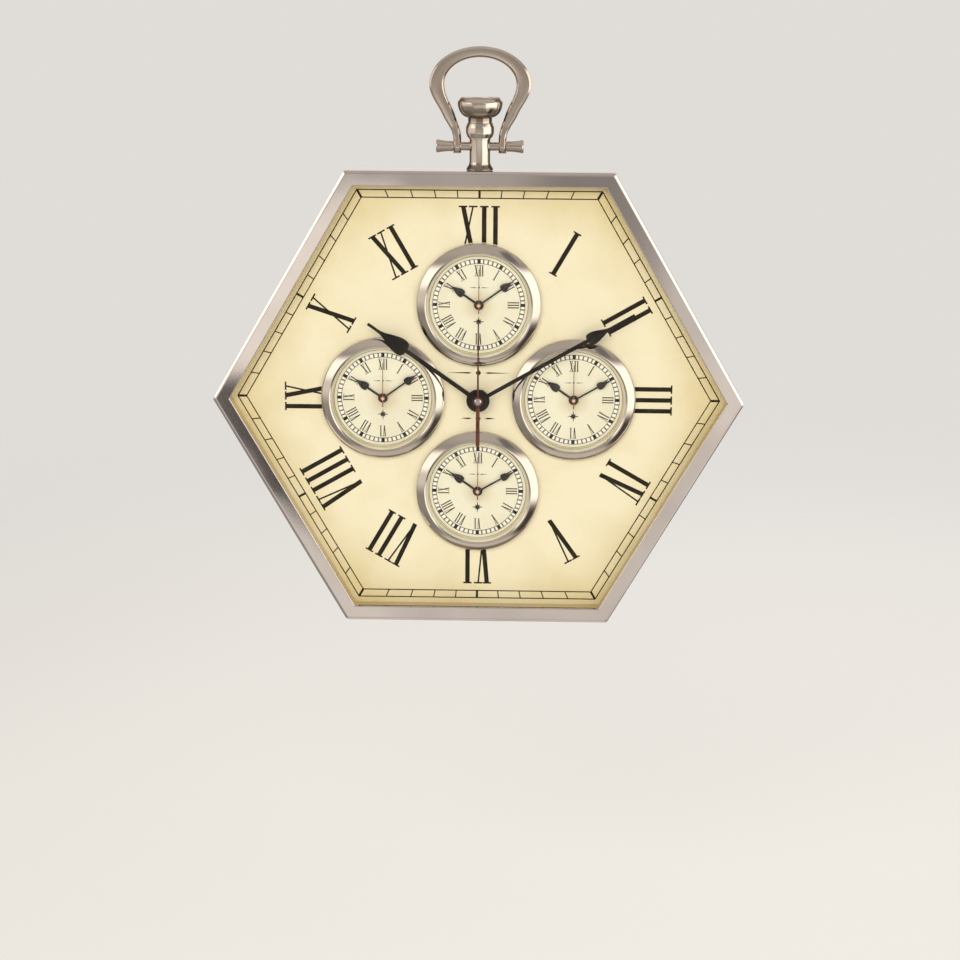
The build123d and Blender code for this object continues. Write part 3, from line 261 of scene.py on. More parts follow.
def makePolish():
    # polished metal: long faint drag lines that follow the piece, and slow waves left by the wheel
    tree, given, out = newGroup("polishedDrag", {"Drag": 0.1, "Waves": 0.5, "Wave Scale": 30.0},
                                {"Height": 0.0, "Lines": 0.0})
    run = addNode(tree, "ShaderNodeTexCoord").outputs["UV"]
    perMetre = (60.0, 5200.0, 1.0)             # lines are long along the run and close together across it
    stretched = addNode(tree, "ShaderNodeMapping", {"Vector": run, "Scale": perMetre}).outputs[0]
    lines = noiseOn(tree, stretched, scale=1.0, detail=3.0, rough=0.6)
    waves = noiseOn(tree, objectPlace(tree), given["Wave Scale"], detail=1.0)
    height = mathNode(tree, "ADD", mathNode(tree, "MULTIPLY", lines, given["Drag"]),
                      mathNode(tree, "MULTIPLY", waves, given["Waves"]))
    tree.links.new(height, out["Height"])
    tree.links.new(lines, out["Lines"])
    return tree


def makePaper():
    # printed paper: fine fibres, cloudy ageing, and a mask of painted shade that draws it towards the aged
    # and shaded colour
    tree, given, out = newGroup(
        "agedShadedPaper", {"Paper": (0.8, 0.75, 0.5, 1), "Aged And Shaded": (0.5, 0.4, 0.2, 1), "Mask": 0.0},
        {"Color": (0.8, 0.75, 0.5, 1), "Height": 0.0})
    place = objectPlace(tree)
    cloud = noiseOn(tree, place, scale=34.0, detail=4.0, rough=0.55)
    speck = noiseOn(tree, place, scale=900.0, detail=3.0, rough=0.6)
    fibre = noiseOn(tree, place, scale=3800.0, detail=2.0, rough=0.7)
    clouded = ranged(tree, cloud, low=0.35, high=0.75, toLow=-0.05, toHigh=0.16)
    specked = ranged(tree, speck, low=0.5, high=0.8, toHigh=0.09)
    share = mathNode(tree, "ADD", given["Mask"], clouded, clamp=True)
    share = mathNode(tree, "ADD", share, specked, clamp=True)
    tree.links.new(mixed(tree, share, given["Paper"], given["Aged And Shaded"]), out["Color"])
    speckHeight = 0.6
    height = mathNode(tree, "ADD", fibre, mathNode(tree, "MULTIPLY", speck, speckHeight))
    tree.links.new(height, out["Height"])
    return tree


def makeMould():
    # moulded or painted skin: a fine pebble for bump and a cloudy wear mask
    tree, given, out = newGroup("mouldedSkin", {"Pebble Scale": 2600.0, "Wear Scale": 60.0},
                                {"Height": 0.0, "Wear": 0.0})
    place = objectPlace(tree)
    tree.links.new(noiseOn(tree, place, given["Pebble Scale"], detail=2.0, rough=0.6), out["Height"])
    wear = noiseOn(tree, place, given["Wear Scale"], detail=4.0)
    tree.links.new(ranged(tree, wear, low=0.35, high=0.7), out["Wear"])
    return tree


slowMottle, polishedDrag, agedShadedPaper, mouldedSkin = makeMottle(), makePolish(), makePaper(), makeMould()


def placed(tree, group, feeds):
    return addNode(tree, "ShaderNodeGroup", feeds, node_tree=group).outputs


def drifting(tree, scale):
    # a mask that drifts slowly between 0 and 1 over the piece
    return placed(tree, slowMottle, {"Scale": scale, "Low": 0.0, "High": 1.0})["Value"]


def newMaterial(name, feeds=None):
    # a material with one Principled shader, its steady values set on the shader's own sockets;
    # pieces and nodes find it by its name
    material = bpy.data.materials.new(name)
    material.use_nodes = True
    tree = material.node_tree
    tree.nodes.clear()
    shader = addNode(tree, "ShaderNodeBsdfPrincipled", feeds)
    out = tree.nodes.new("ShaderNodeOutputMaterial")
    tree.links.new(shader.outputs[0], out.inputs["Surface"])
    return tree, shader


def dress(tree, shader, skin, height, bump, gloss=None):
    # link the colour, the bump with its strength and depth in metres, and a roughness that varies
    tree.links.new(skin, shader.inputs["Base Color"])
    feeds = {"Height": height, "Strength": bump[0], "Distance": bump[1]}
    tree.links.new(addNode(tree, "ShaderNodeBump", feeds).outputs[0], shader.inputs["Normal"])
    if gloss is not None:
        tree.links.new(gloss, shader.inputs["Roughness"])


# the recess tint warms the painted shade in recesses
polishLooks = dict(driftScale=26.0, lines=(0.3, 0.7), bumpDepth=0.0006, recessShadeTint=(1.0, 0.94, 0.86))


def polishedMetal(name, light, dark, rough, drag, waves, waveScale, bump=0.12, paintedShade=()):
    # the colour drifts slowly between two tones, and the drag lines vary the gloss; painted shade darkens a
    # recess from one height to another, in millimetres above the dial's centre, down to a share of the colour
    tree, shader = newMaterial(name, {"Metallic": 1.0})
    skin = mixed(tree, drifting(tree, polishLooks["driftScale"]), light, dark)
    # painted shade: darker from where it starts towards the deep end of the recess
    for clearAt, darkestAt, share in paintedShade:
        up = addNode(tree, "ShaderNodeSeparateXYZ", {0: dialPlace(tree)}).outputs["Z"]
        shade = (*(share * part for part in polishLooks["recessShadeTint"]), 1.0)
        skin = mixed(tree, ranged(tree, up, clearAt, darkestAt), skin, shade, "MULTIPLY")
    polish = placed(tree, polishedDrag, {"Drag": drag, "Waves": waves, "Wave Scale": waveScale})
    gloss = ranged(tree, polish["Lines"], *polishLooks["lines"], *rough)
    dress(tree, shader, skin, polish["Height"], (bump, polishLooks["bumpDepth"]), gloss)


turnedLooks = dict(tooth=5200.0, bump=(0.08, 0.0001))


def plainMetal(name, light, dark, rough, scale=90.0):
    # turned or stamped metal with cloudy tarnish and a fine tooth
    tree, shader = newMaterial(name, {"Metallic": 1.0})
    drift = drifting(tree, scale)
    tooth = placed(tree, mouldedSkin, {"Pebble Scale": turnedLooks["tooth"]})["Height"]
    dress(tree, shader, mixed(tree, drift, light, dark), tooth, turnedLooks["bump"],
          ranged(tree, drift, 0.0, 1.0, *rough))


plasticLooks = dict(wearScale=45.0, bumpDepth=0.00012)


def mouldedPlastic(name, base, worn, rough, pebble=2600.0, bump=0.25):
    # satin skin with a pebble, lighter and duller where it is handled
    tree, shader = newMaterial(name)
    skin = placed(tree, mouldedSkin, {"Pebble Scale": pebble, "Wear Scale": plasticLooks["wearScale"]})
    dress(tree, shader, mixed(tree, skin["Wear"], base, worn), skin["Height"],
          (bump, plasticLooks["bumpDepth"]), ranged(tree, skin["Wear"], 0.0, 1.0, *rough))


def hexDistance(tree, place):
    # the greatest of the distances along the three pairs of flats
    reach = None
    for turn in (30, 90, 150):
        across = (cos(radians(turn)), 0, sin(radians(turn)))
        dot = addNode(tree, "ShaderNodeVectorMath", {0: place, 1: across}, operation="DOT_PRODUCT")
        far = mathNode(tree, "ABSOLUTE", dot.outputs["Value"])
        reach = far if reach is None else mathNode(tree, "MAXIMUM", reach, far)
    return reach


# the paper is drawn to the second colour by cloudy ageing and by painted shade at the flats and corners
dialLooks = dict(paper=tint(241, 230, 194), agedAndShaded=tint(210, 187, 120), flatEdge=(100.0, 130.0), flatShare=0.2,
                 cornerEdge=(92.0, 144.0), cornerShare=0.5, rough=0.42, bump=(0.10, 0.00008))


def makeDialPaper():
    # cream paper, darkened by painted shade towards the flats and, further, into the corners
    tree, shader = newMaterial("dialPaper", {"Roughness": dialLooks["rough"]})
    place = dialPlace(tree)
    byFlats = ranged(tree, hexDistance(tree, place), *dialLooks["flatEdge"], toHigh=dialLooks["flatShare"])
    byCorners = ranged(tree, flatReach(tree, place, (1, 0, 1)), *dialLooks["cornerEdge"],
                       toHigh=dialLooks["cornerShare"])
    mask = mathNode(tree, "ADD", byFlats, byCorners)
    paper = placed(tree, agedShadedPaper, {"Paper": dialLooks["paper"], "Aged And Shaded": dialLooks["agedAndShaded"], "Mask": mask})
    dress(tree, shader, paper["Color"], paper["Height"], dialLooks["bump"])


# radii in millimetres from an insert's centre, the hour blocks in degrees
insertLooks = dict(
    paper=tint(236, 230, 201), agedAndShaded=tint(196, 166, 112), cell=tint(246, 243, 229), line=tint(88, 76, 50),
    tick=tint(112, 98, 66), ink=tint(24, 20, 13), fadedInk=tint(46, 39, 26), chain=(23.9, 26.5), cellSoft=0.1,
    # the edge and hub shade are painted shade, towards the bezel and round the hub
    rings=((28.3, 0.12), (23.95, 0.09), (26.45, 0.09)), ringOut=0.08, ringIn=0.04, edgeShade=(26.0, 29.0),
    edgeShare=0.1, hubShade=(12.0, 2.0), hubShare=0.42, chainOut=0.4, chainIn=0.2, blockEvery=30.0,
    blockHalf=2.4, blockSoft=0.3, rough=0.4, bump=(0.08, 0.00008),
)


def insertPlace(tree):
    # fold the dial so that all four inserts lie on one arm: along and across from the insert's centre
    split = addNode(tree, "ShaderNodeSeparateXYZ", {0: dialPlace(tree)}).outputs
    x, z = mathNode(tree, "ABSOLUTE", split["X"]), mathNode(tree, "ABSOLUTE", split["Z"])
    along = mathNode(tree, "SUBTRACT", mathNode(tree, "MAXIMUM", x, z), clock["insertRing"])
    across = mathNode(tree, "MINIMUM", x, z)
    reach = mathNode(tree, "SQRT", mathNode(tree, "ADD", mathNode(tree, "MULTIPLY", along, along),
                                            mathNode(tree, "MULTIPLY", across, across)))
    return along, across, reach


def inChain(tree, reach, outer, inner):
    # 1 inside the band of the minute chain, with soft edges that many millimetres outside it
    low, high = insertLooks["chain"]
    return mathNode(tree, "MULTIPLY", ranged(tree, reach, low - outer, low - inner),
                    ranged(tree, reach, high + outer, high + inner))


def makeInsertPaper():
    # cream card with painted brown shade by the hub and towards the bezel, white cells in the minute chain
    # and fine rings
    look = insertLooks
    tree, shader = newMaterial("insertPaper", {"Roughness": look["rough"]})
    reach = insertPlace(tree)[2]
    # painted shade towards the bezel and round the hub
    byEdge = ranged(tree, reach, *look["edgeShade"], toHigh=look["edgeShare"])
    byHub = ranged(tree, reach, *look["hubShade"], toHigh=look["hubShare"])
    shade = mathNode(tree, "ADD", byEdge, byHub)
    paper = placed(tree, agedShadedPaper, {"Paper": look["paper"], "Aged And Shaded": look["agedAndShaded"], "Mask": shade})
    cell = inChain(tree, reach, look["cellSoft"], 0.0)
    skin = mixed(tree, cell, paper["Color"], look["cell"])
    for ringAt, ringHalf in look["rings"]:
        off = mathNode(tree, "ABSOLUTE", mathNode(tree, "SUBTRACT", reach, ringAt))
        onRing = ranged(tree, off, ringHalf + look["ringOut"], ringHalf - look["ringIn"])
        skin = mixed(tree, onRing, skin, look["line"])
    dress(tree, shader, skin, paper["Height"], look["bump"])


inkLooks = dict(rough=0.6, specular=0.25, driftScale=160.0, pebble=3600.0, bump=(0.1, 0.00006))


def makeInk(name, ink, faded):
    # printer's ink, a little brown where it is thin
    steady = {"Roughness": inkLooks["rough"], "Specular IOR Level": inkLooks["specular"]}
    tree, shader = newMaterial(name, steady)
    tone = mixed(tree, drifting(tree, inkLooks["driftScale"]), ink, faded)
    pebble = placed(tree, mouldedSkin, {"Pebble Scale": inkLooks["pebble"]})["Height"]
    dress(tree, shader, tone, pebble, inkLooks["bump"])
    return tree, shader, tone


def makeInsertInk():
    # the same ink, but the ticks of the minute chain are fine and brown between its black hour blocks
    look = insertLooks
    tree, shader, tone = makeInk("insertInk", look["ink"], look["fadedInk"])
    along, across, reach = insertPlace(tree)
    turn = mathNode(tree, "DEGREES", mathNode(tree, "ARCTAN2", across, along))
    every, half = look["blockEvery"], look["blockHalf"]
    nearest = mathNode(tree, "SNAP", mathNode(tree, "ADD", turn, every / 2), every)
    off = mathNode(tree, "ABSOLUTE", mathNode(tree, "SUBTRACT", turn, nearest))
    tick = mathNode(tree, "MULTIPLY", inChain(tree, reach, look["chainOut"], look["chainIn"]),
                    ranged(tree, off, half, half + look["blockSoft"]))
    tree.links.new(mixed(tree, tick, tone, look["tick"]), shader.inputs["Base Color"])


paintLooks = dict(specular=0.3, coatRough=0.22, pebble=1800.0, wearScale=120.0, wornRough=0.12,
                  bump=(0.12, 0.00006))


def makeHandPaint(name, base, worn, rough, coat):
    # thin enamel on pressed brass, slightly lighter where the light has faded it
    look = paintLooks
    tree, shader = newMaterial(name, {"Specular IOR Level": look["specular"], "Coat Weight": coat,
                                      "Coat Roughness": look["coatRough"]})
    skin = placed(tree, mouldedSkin, {"Pebble Scale": look["pebble"], "Wear Scale": look["wearScale"]})
    paint = mixed(tree, skin["Wear"], base, worn)
    dress(tree, shader, paint, skin["Height"], look["bump"],
          ranged(tree, skin["Wear"], 0.0, 1.0, rough, rough + look["wornRough"]))
    return tree, shader, paint


copperLooks = dict(needle=tint(120, 80, 58), worn=tint(138, 98, 74), ring=tint(140, 76, 42), rough=0.34,
                   ringEdge=(1.6, 1.45), middle=tint(206, 190, 156), middleEdge=(1.0, 0.7), coat=0.08)


def makeCopper():
    # a brown needle, and a copper button that is pale in the middle
    tree, shader, paint = makeHandPaint("secondCopper", copperLooks["needle"], copperLooks["worn"],
                                        copperLooks["rough"], copperLooks["coat"])
    reach = insertPlace(tree)[2]
    for part in ("ring", "middle"):
        paint = mixed(tree, ranged(tree, reach, *copperLooks[part + "Edge"]), paint, copperLooks[part])
    tree.links.new(paint, shader.inputs["Base Color"])


def makeGlass():
    # clear flat glass; shadow and diffuse rays pass straight through, so the small dials are lit once
    tree, shader = newMaterial("lensGlass", {"Base Color": (1, 1, 1, 1), "Roughness": 0.02, "IOR": 1.22,
                                             "Transmission Weight": 1.0})
    clear = tree.nodes.new("ShaderNodeBsdfTransparent")
    path = addNode(tree, "ShaderNodeLightPath").outputs
    through = mathNode(tree, "MAXIMUM", path["Is Shadow Ray"], path["Is Diffuse Ray"])
    both = addNode(tree, "ShaderNodeMixShader", {0: through, 1: shader.outputs[0], 2: clear.outputs[0]})
    tree.links.new(both.outputs[0], tree.nodes["Material Output"].inputs["Surface"])


polishedMetal("rimNickel", tint(211, 201, 193), tint(201, 190, 182), rough=(0.03, 0.05),
              drag=0.006, waves=1.2, waveScale=22.0)
pendantPolish = dict(light=tint(208, 194, 179), dark=tint(190, 174, 158), rough=(0.10, 0.15),
                     drag=0.008, waves=0.7, waveScale=60.0)
polishedMetal("pendantNickel", **pendantPolish)
# painted shade round the stem's foot and in the neck under the crown
polishedMetal("stemNickel", **pendantPolish, paintedShade=[(137.4, 134.6, 0.45), (158.6, 161.6, 0.5)])
# painted shade on the underside of the crown's bowl
polishedMetal("crownNickel", tint(212, 199, 184), tint(192, 176, 160), rough=(0.08, 0.12),
              drag=0.008, waves=3.2, waveScale=150.0, bump=0.2, paintedShade=[(171.5, 163.0, 0.4)])
polishedMetal("bezelChrome", tint(206, 195, 181), tint(190, 178, 163), rough=(0.07, 0.10),
              drag=0.006, waves=0.4, waveScale=90.0, bump=0.08)
mouldedPlastic("seatRing", tint(212, 204, 174), tint(198, 188, 154), rough=(0.45, 0.55),
               pebble=2200.0, bump=0.15)
makeDialPaper()
makeInsertPaper()
makeGlass()
makeInk("printInk", tint(23, 19, 11), tint(44, 37, 22))
makeInsertInk()
makeHandPaint("handBlack", tint(20, 16, 12), tint(44, 37, 29), rough=0.32, coat=0.08)
makeHandPaint("secondRed", tint(82, 38, 22), tint(102, 58, 38), rough=0.36, coat=0.1)
makeCopper()
plainMetal("capSilver", tint(194, 186, 180), tint(170, 162, 154), rough=(0.16, 0.26), scale=220.0)
print("materials for the front made")

# what the back and the works are made of: two colours, the least and most roughness, the scale of the
# grain where it isn't the usual one, and for a plastic the strength of its bump
plastics = dict(
    coverPaint=[(58, 57, 56), (70, 69, 67), (0.42, 0.55), 1500.0, 0.35],
    blackRubber=[(30, 29, 28), (44, 42, 40), (0.62, 0.75), 3400.0, 0.4],
    spacerFoam=[(70, 68, 66), (92, 89, 86), (0.8, 0.9), 1700.0, 0.8],
    dialBoard=[(150, 122, 88), (172, 144, 108), (0.7, 0.8), 1900.0, 0.5],
    blackPlastic=[(30, 30, 31), (42, 42, 43), (0.36, 0.5)],
    knobPlastic=[(96, 95, 93), (112, 110, 107), (0.38, 0.5)],
    whitePlastic=[(232, 229, 220), (222, 217, 204), (0.38, 0.5)],
    boardGreen=[(30, 84, 54), (44, 104, 68), (0.3, 0.45), 1200.0, 0.2],
    batteryWrap=[(46, 62, 104), (58, 74, 116), (0.25, 0.38), 900.0, 0.1],
)
metals = dict(
    zincPlate=[(196, 196, 192), (160, 160, 158), (0.28, 0.42)],
    turnedBrass=[(214, 178, 104), (186, 148, 78), (0.2, 0.34), 200.0],
    blackenedNut=[(44, 39, 34), (30, 27, 24), (0.34, 0.5), 200.0],
    magnetGrey=[(92, 92, 96), (70, 70, 74), (0.35, 0.5)],
    statorSteel=[(170, 172, 176), (140, 142, 148), (0.25, 0.4)],
    coilCopper=[(196, 108, 62), (160, 78, 42), (0.25, 0.4), 400.0],
)
for make, kinds in ((mouldedPlastic, plastics), (plainMetal, metals)):
    for name, (light, dark, *grain) in kinds.items():
        make(name, tint(*light), tint(*dark), *grain)

wornBy = dict(
    dialPaper="dial_sheet", printInk="dial_print", insertPaper="insert_dials", insertInk="insert_prints",
    lensGlass="insert_lenses", rimNickel="case_frame", dialBoard="dial_plate", spacerFoam="dial_spacer",
    coverPaint="rear_cover", turnedBrass="centre_bush", blackenedNut="bush_nut", coilCopper="coil",
    magnetGrey="rotor", boardGreen="circuit_board", batteryWrap="battery",
    zincPlate="hanger_plate cover_screws battery_contacts insert_lids",
    blackRubber="wall_bumpers movement_gasket insert_retainers",
    blackPlastic="front_housing rear_housing", statorSteel="stator_plate insert_cells",
    whitePlastic="intermediate_wheel seconds_wheel third_wheel centre_wheel motion_wheel hour_wheel"
                 " insert_cups insert_modules",
    knobPlastic="set_knob top_set_knob right_set_knob bottom_set_knob left_set_knob",
)
for finish, nodeNames in wornBy.items():
    for nodeName in nodeNames.split():
        nodes[nodeName].data.materials.clear()
        nodes[nodeName].data.materials.append(bpy.data.materials[finish])
print("CAD nodes finished")

rim = dict(flat=132.5, front=9.0, back=-8.0, draft=0.6, faceWidth=8.5, wall=5.5, cornerRound=2.5,
           innerRound=0.35, bevelIn=1.5, bevelDrop=0.7, bevelEnd=0.5, bevelRounds=[0, 0.3, 0.5, 0],
           stripStop=0.2, stripSteps=8, lipRound=0.5, lipStart=0.1)


def rimProfile():
    # outer wall that draws in to the back, a narrow bevel, a flat strip, a small round lip, the wall inside
    front, back, width, wall = rim["front"], rim["back"], rim["faceWidth"], rim["wall"]
    stripFrom, lipFrom = rim["bevelIn"] + rim["bevelEnd"], width - rim["lipRound"]
    edge = softened([(rim["draft"], back), (0, front - rim["bevelDrop"]), (rim["bevelIn"], front),
                     (stripFrom, front)], rim["bevelRounds"], steps=6)
    across = np.linspace(stripFrom, lipFrom - rim["stripStop"], rim["stripSteps"])
    strip = np.stack([across, np.full(len(across), front)], -1)
    inside = softened([(lipFrom - rim["lipStart"], front), (width, front), (width, 0.0), (wall, 0.0),
                       (wall, back)], [0, rim["lipRound"], 0, 0, 0], steps=7)
    return np.concatenate([edge, strip[1:], inside])


rimSheet = hexRing(rimProfile(), rim["flat"], rim["cornerRound"], rim["innerRound"], cornerSteps=11)
addPiece("case_rim", [(rimSheet, True)], "case", "rimNickel", ["case_frame"])
print("rim made")

# stem, crown and pin: corners are (radius, way along the axis), each with the round that softens it
pendant = dict(
    depth=-0.5, base=132.5, pinUp=13.2, neckEnd=29.6,
    stemCorners=[(0, 0), (7.6, 0), (7.6, 0.9), (6.9, 1.9), (6.15, 3.1), (5.8, 4.6), (5.8, 17.4), (6.2, 17.5),
                 (6.2, 18.4), (7.0, 18.4), (7.9, 20.9), (7.9, 24.3), (7.1, 26.7), (6.7, 26.7), (6.7, 29.6),
                 (0, 29.6)],
    stemRounds=[0, 0.3, 0.4, 0.6, 0.9, 2.6, 0.1, 0.15, 0.15, 0.25, 3.4, 3.4, 0.3, 0.1, 0.2, 0],
    crownBase=6.5, crownRadius=12.6, crownWidest=8.1, bowlSteps=22,
    crownTop=[(12.6, 8.1), (12.6, 9.1), (10.9, 11.45), (5.5, 11.75), (0, 11.78)],
    crownRounds=[0, 1.6, 2.2, 8.0, 0],
)
pin = dict(radius=2.4, endFrom=15.2, tuck=1.0,         # the rod is tucked that far into its ends
           endCorners=[(0, 15.2), (2.95, 15.2), (2.9, 18.0), (3.25, 21.4), (3.7, 23.9), (3.45, 24.6),
                       (0, 24.6)],
           endRounds=[0, 0.4, 3.0, 3.0, 0.5, 0.35, 0])
pendantTop = (0.0, pendant["depth"], pendant["base"])
pinAt = (0.0, pendant["depth"], pendant["base"] + pendant["pinUp"])

stemLine = softened(pendant["stemCorners"], pendant["stemRounds"], steps=8)
addPiece("stem", [(spun(stemLine, pendantTop, "up", count=96), False)], "case",
         "stemNickel", ["pendant_stem"])


def crownLine():
    # a bowl that swells from the neck along a quarter ellipse, a soft rim and a low dome
    a = np.linspace(0, np.pi / 2, pendant["bowlSteps"])
    grow = pendant["crownRadius"] - pendant["crownBase"]
    bowl = np.stack([pendant["crownBase"] + grow * np.sin(a), pendant["crownWidest"] * (1 - np.cos(a))], -1)
    dome = softened(pendant["crownTop"], pendant["crownRounds"], steps=9)
    return np.concatenate([[(0, 0)], bowl, dome[1:]]) + (0, pendant["neckEnd"])


addPiece("crown_bowl", [(spun(crownLine(), pendantTop, "up", count=128), False)], "case",
         "crownNickel", ["crown"])
endLine = softened(pin["endCorners"], pin["endRounds"], steps=7)
rodEnd = pin["endFrom"] + pin["tuck"]
rodLine = [(0, -rodEnd), (pin["radius"], -rodEnd), (pin["radius"], rodEnd), (0, rodEnd)]
pinSheets = [(spun(rodLine, pinAt, "side", count=48), False)]
pinSheets += [(spun(endLine * (1, way), pinAt, "side", count=56), False) for way in (-1, 1)]
addPiece("cross_pin", pinSheets, "case", "pendantNickel", ["bail_pin"])

bail = dict(outerHalf=28.6, innerHalf=20.3, widestUp=34.8, outerRise=21.2, innerRise=15.2, thickness=5.0,
            chamfer=1.1, edgeRound=0.22, legInner=10.6, legWidth=4.3, straight=4.0, waistOut=(21.2, 18.0),
            waistIn=(14.1, 17.4), eye=3.9, swellFrom=11.0,
            drawnHalf=10.0,        # half the bar's width as its section is drawn, before it is fitted
            steps=dict(eye=12, leg=6, lower=14, upper=16, dome=34))


def bowEdge(legX, waist, half, rise):
    # right half of one edge: a leg that starts under the pin, two cubics through the waist, a quarter ellipse
    steps, widest = bail["steps"], bail["widestUp"]
    a = np.linspace(np.pi / 2, 0, steps["eye"])
    up = np.concatenate([-bail["eye"] * np.sin(a), np.linspace(0, bail["straight"], steps["leg"])[1:-1]])
    leg = np.stack([np.full(len(up), legX), up], -1)
    low, mid, high = np.array([legX, bail["straight"]]), np.array(waist), np.array([half, widest])
    midPull = (high - low) / np.linalg.norm(high - low)
    first, second = np.linalg.norm(mid - low), np.linalg.norm(high - mid)
    lower = hermite(low, (0, first), mid, midPull * first, steps["lower"])
    upper = hermite(mid, midPull * second, high, (0, second), steps["upper"])
    a = np.linspace(0, np.pi / 2, steps["dome"])
    dome = np.stack([half * np.cos(a), widest + rise * np.sin(a)], -1)
    return np.concatenate([leg, lower, upper[1:], dome[1:]])


def bailSheet():
    # the section is a bar with bevelled edges, carried along the bow between its two edges
    leg = bail["legInner"]
    outer = bowEdge(leg + bail["legWidth"], bail["waistOut"], bail["outerHalf"], bail["outerRise"])
    inner = bowEdge(leg, bail["waistIn"], bail["innerHalf"], bail["innerRise"])
    outer, inner = (np.concatenate([e * (-1, 1), e[-2::-1]]) for e in (outer, inner))
    across = outer - inner
    across = across / np.linalg.norm(across, axis=1)[:, None]
    t, c, w = bail["thickness"] / 2, bail["chamfer"], bail["drawnHalf"]
    bar = softened([(-w, -t + c), (-w, t - c), (-w + c, t), (w - c, t), (w, t - c), (w, -t + c), (w - c, -t),
                    (-w + c, -t)], bail["edgeRound"], steps=4, closed=True)
    near = bar[:, 0] < 0                       # points measured from the inner edge, the rest from the outer
    fromEdge = np.where(near, bar[:, 0] + w, bar[:, 0] - w)[None, :, None]
    edge = np.where(near[None, :, None], inner[:, None], outer[:, None])
    flat = edge + across[:, None] * fromEdge
    eye, up = bail["eye"], np.clip(1 - inner[:, 1] / bail["swellFrom"], 0, 1)
    swell = t + (eye - t) * up ** 2 * (3 - 2 * up)                  # the legs thicken towards the pin
    ends = np.sqrt(np.maximum(eye ** 2 - inner[:, 1] ** 2, 0))      # and close in a half circle under it
    thick = np.where(inner[:, 1] < 0, ends, swell) / t
    height = pendant["depth"] + bar[None, :, 1] * thick[:, None]
    return toFrame(flat[..., 0], height, pinAt[2] + flat[..., 1])


addPiece("bail_bow", [(bailSheet(), False)], "bail", "pendantNickel", ["bail"],
         smoothAngle=30)
print("pendant made")

bezel = dict(radius=35.6, wall=3.0, wallRound=0.15, coneIn=0.2, coneUp=0.05, bulge=0.12, coneSteps=10,
             crest=6.0, crestOuter=31.3, crestInner=30.85, crestIn=0.2, crestUp=0.08,
             crestRounds=[0, 0.15, 0.1, 0.1, 0], bore=30.2, lensTop=5.5, ledge=4.55)
seat = dict(face=1.1, reflector=29.0, lip=0.15, lipDrop=0.35, lean=0.25, rounds=[0, 0, 0.05, 0.12, 0])


def bezelProfile():
    # a low wall, a nearly straight cone up to a thin crest, and a step down to the lens
    radius, wall, crest, bore = bezel["radius"], bezel["wall"], bezel["crest"], bezel["bore"]
    low = np.array([radius - bezel["coneIn"], wall + bezel["coneUp"]])
    high = np.array([bezel["crestOuter"], crest - bezel["crestUp"]])
    s = np.linspace(0, 1, bezel["coneSteps"])[:, None]
    out = np.array([high[1] - low[1], low[0] - high[0]]) / np.linalg.norm(high - low)
    slope = low + (high - low) * s + out * bezel["bulge"] * 4 * s * (1 - s)
    foot = softened([(bore, 0.0), (radius, 0.0), (radius, wall - bezel["wallRound"]), tuple(low)],
                    [0, 0, bezel["wallRound"], 0], steps=4)
    top = softened([tuple(high), (high[0] - bezel["crestIn"], crest), (bezel["crestInner"], crest),
                    (bore, bezel["lensTop"]), (bore, bezel["ledge"])], bezel["crestRounds"], steps=5)
    return np.concatenate([foot, slope[1:-1], top])


def seatProfile():
    # the pale ring that the lens rests on, its face leaning in a little towards the dial
    bore, ledge, inner = bezel["bore"], bezel["ledge"], seat["reflector"]
    return softened([(bore, seat["face"]), (bore, ledge), (bore - seat["lip"], ledge),
                     (inner, ledge - seat["lipDrop"]), (inner - seat["lean"], seat["face"])],
                    seat["rounds"], steps=4)


bezelSheets, seatSheets = [], []
for place in clock["insertTurns"]:
    x, z = insertCentre(place)
    bezelSheets.append((spun(bezelProfile(), (x, 0.0, z), "front", count=160), True))
    seatSheets.append((spun(seatProfile(), (x, 0.0, z), "front", count=128), True))
addPiece("bezels", bezelSheets, "case", "bezelChrome", ["insert_bezels"])
addPiece("lens_seats", seatSheets, "case", "seatRing")
print("bezels made")

# shares and steps that all spade hands have in common
spade = dict(outPull=1.7, upPull=1.2, shaftFrom=0.55, tipRun=0.3, shaftSteps=8, bulbSteps=14, pointSteps=22)
hub = dict(edgeRound=0.05, frontRound=0.25, frontShare=0.6)
handSmooth = 50        # degrees


def spadeLine(shape):
    # half width against the way along: a straight shaft, a bulb drawn with two cubics, a straight tip
    shaftHalf, tipHalf, length = shape["shaft"] / 2, shape["tip"] / 2, shape["length"]
    low, wide = np.array([shaftHalf, shape["bulbBase"]]), np.array([shape["bulb"] / 2, shape["bulbWidest"]])
    end = np.array([tipHalf, shape["tipStart"]])
    first, second = np.linalg.norm(wide - low), np.linalg.norm(end - wide)
    bulb = hermite(low, (spade["outPull"] * first, 0), wide, (0, spade["upPull"] * first), spade["bulbSteps"])
    point = hermite(wide, (0, second), end, (0, second), spade["pointSteps"])
    up = np.linspace(shape["boss"] * spade["shaftFrom"], shape["bulbBase"], spade["shaftSteps"])
    shaft = np.stack([np.full(len(up), shaftHalf), up], -1)
    tip = [(tipHalf, length - spade["tipRun"]), (tipHalf / 2, length)]
    return np.concatenate([shaft[:-1], bulb, point[1:], tip])


def hubDisc(radius, hole, base, thickness, centre):
    # a thin turned disc with rounded edges and a hole for its arbor
    front = min(hub["frontRound"], thickness * hub["frontShare"])
    line = softened([(hole, base), (radius, base), (radius, base + thickness), (hole, base + thickness)],
                    [0, hub["edgeRound"], front, hub["edgeRound"]], steps=5, closed=True)
    return spun(line, (centre[0], 0.0, centre[1]), "front", count=64)


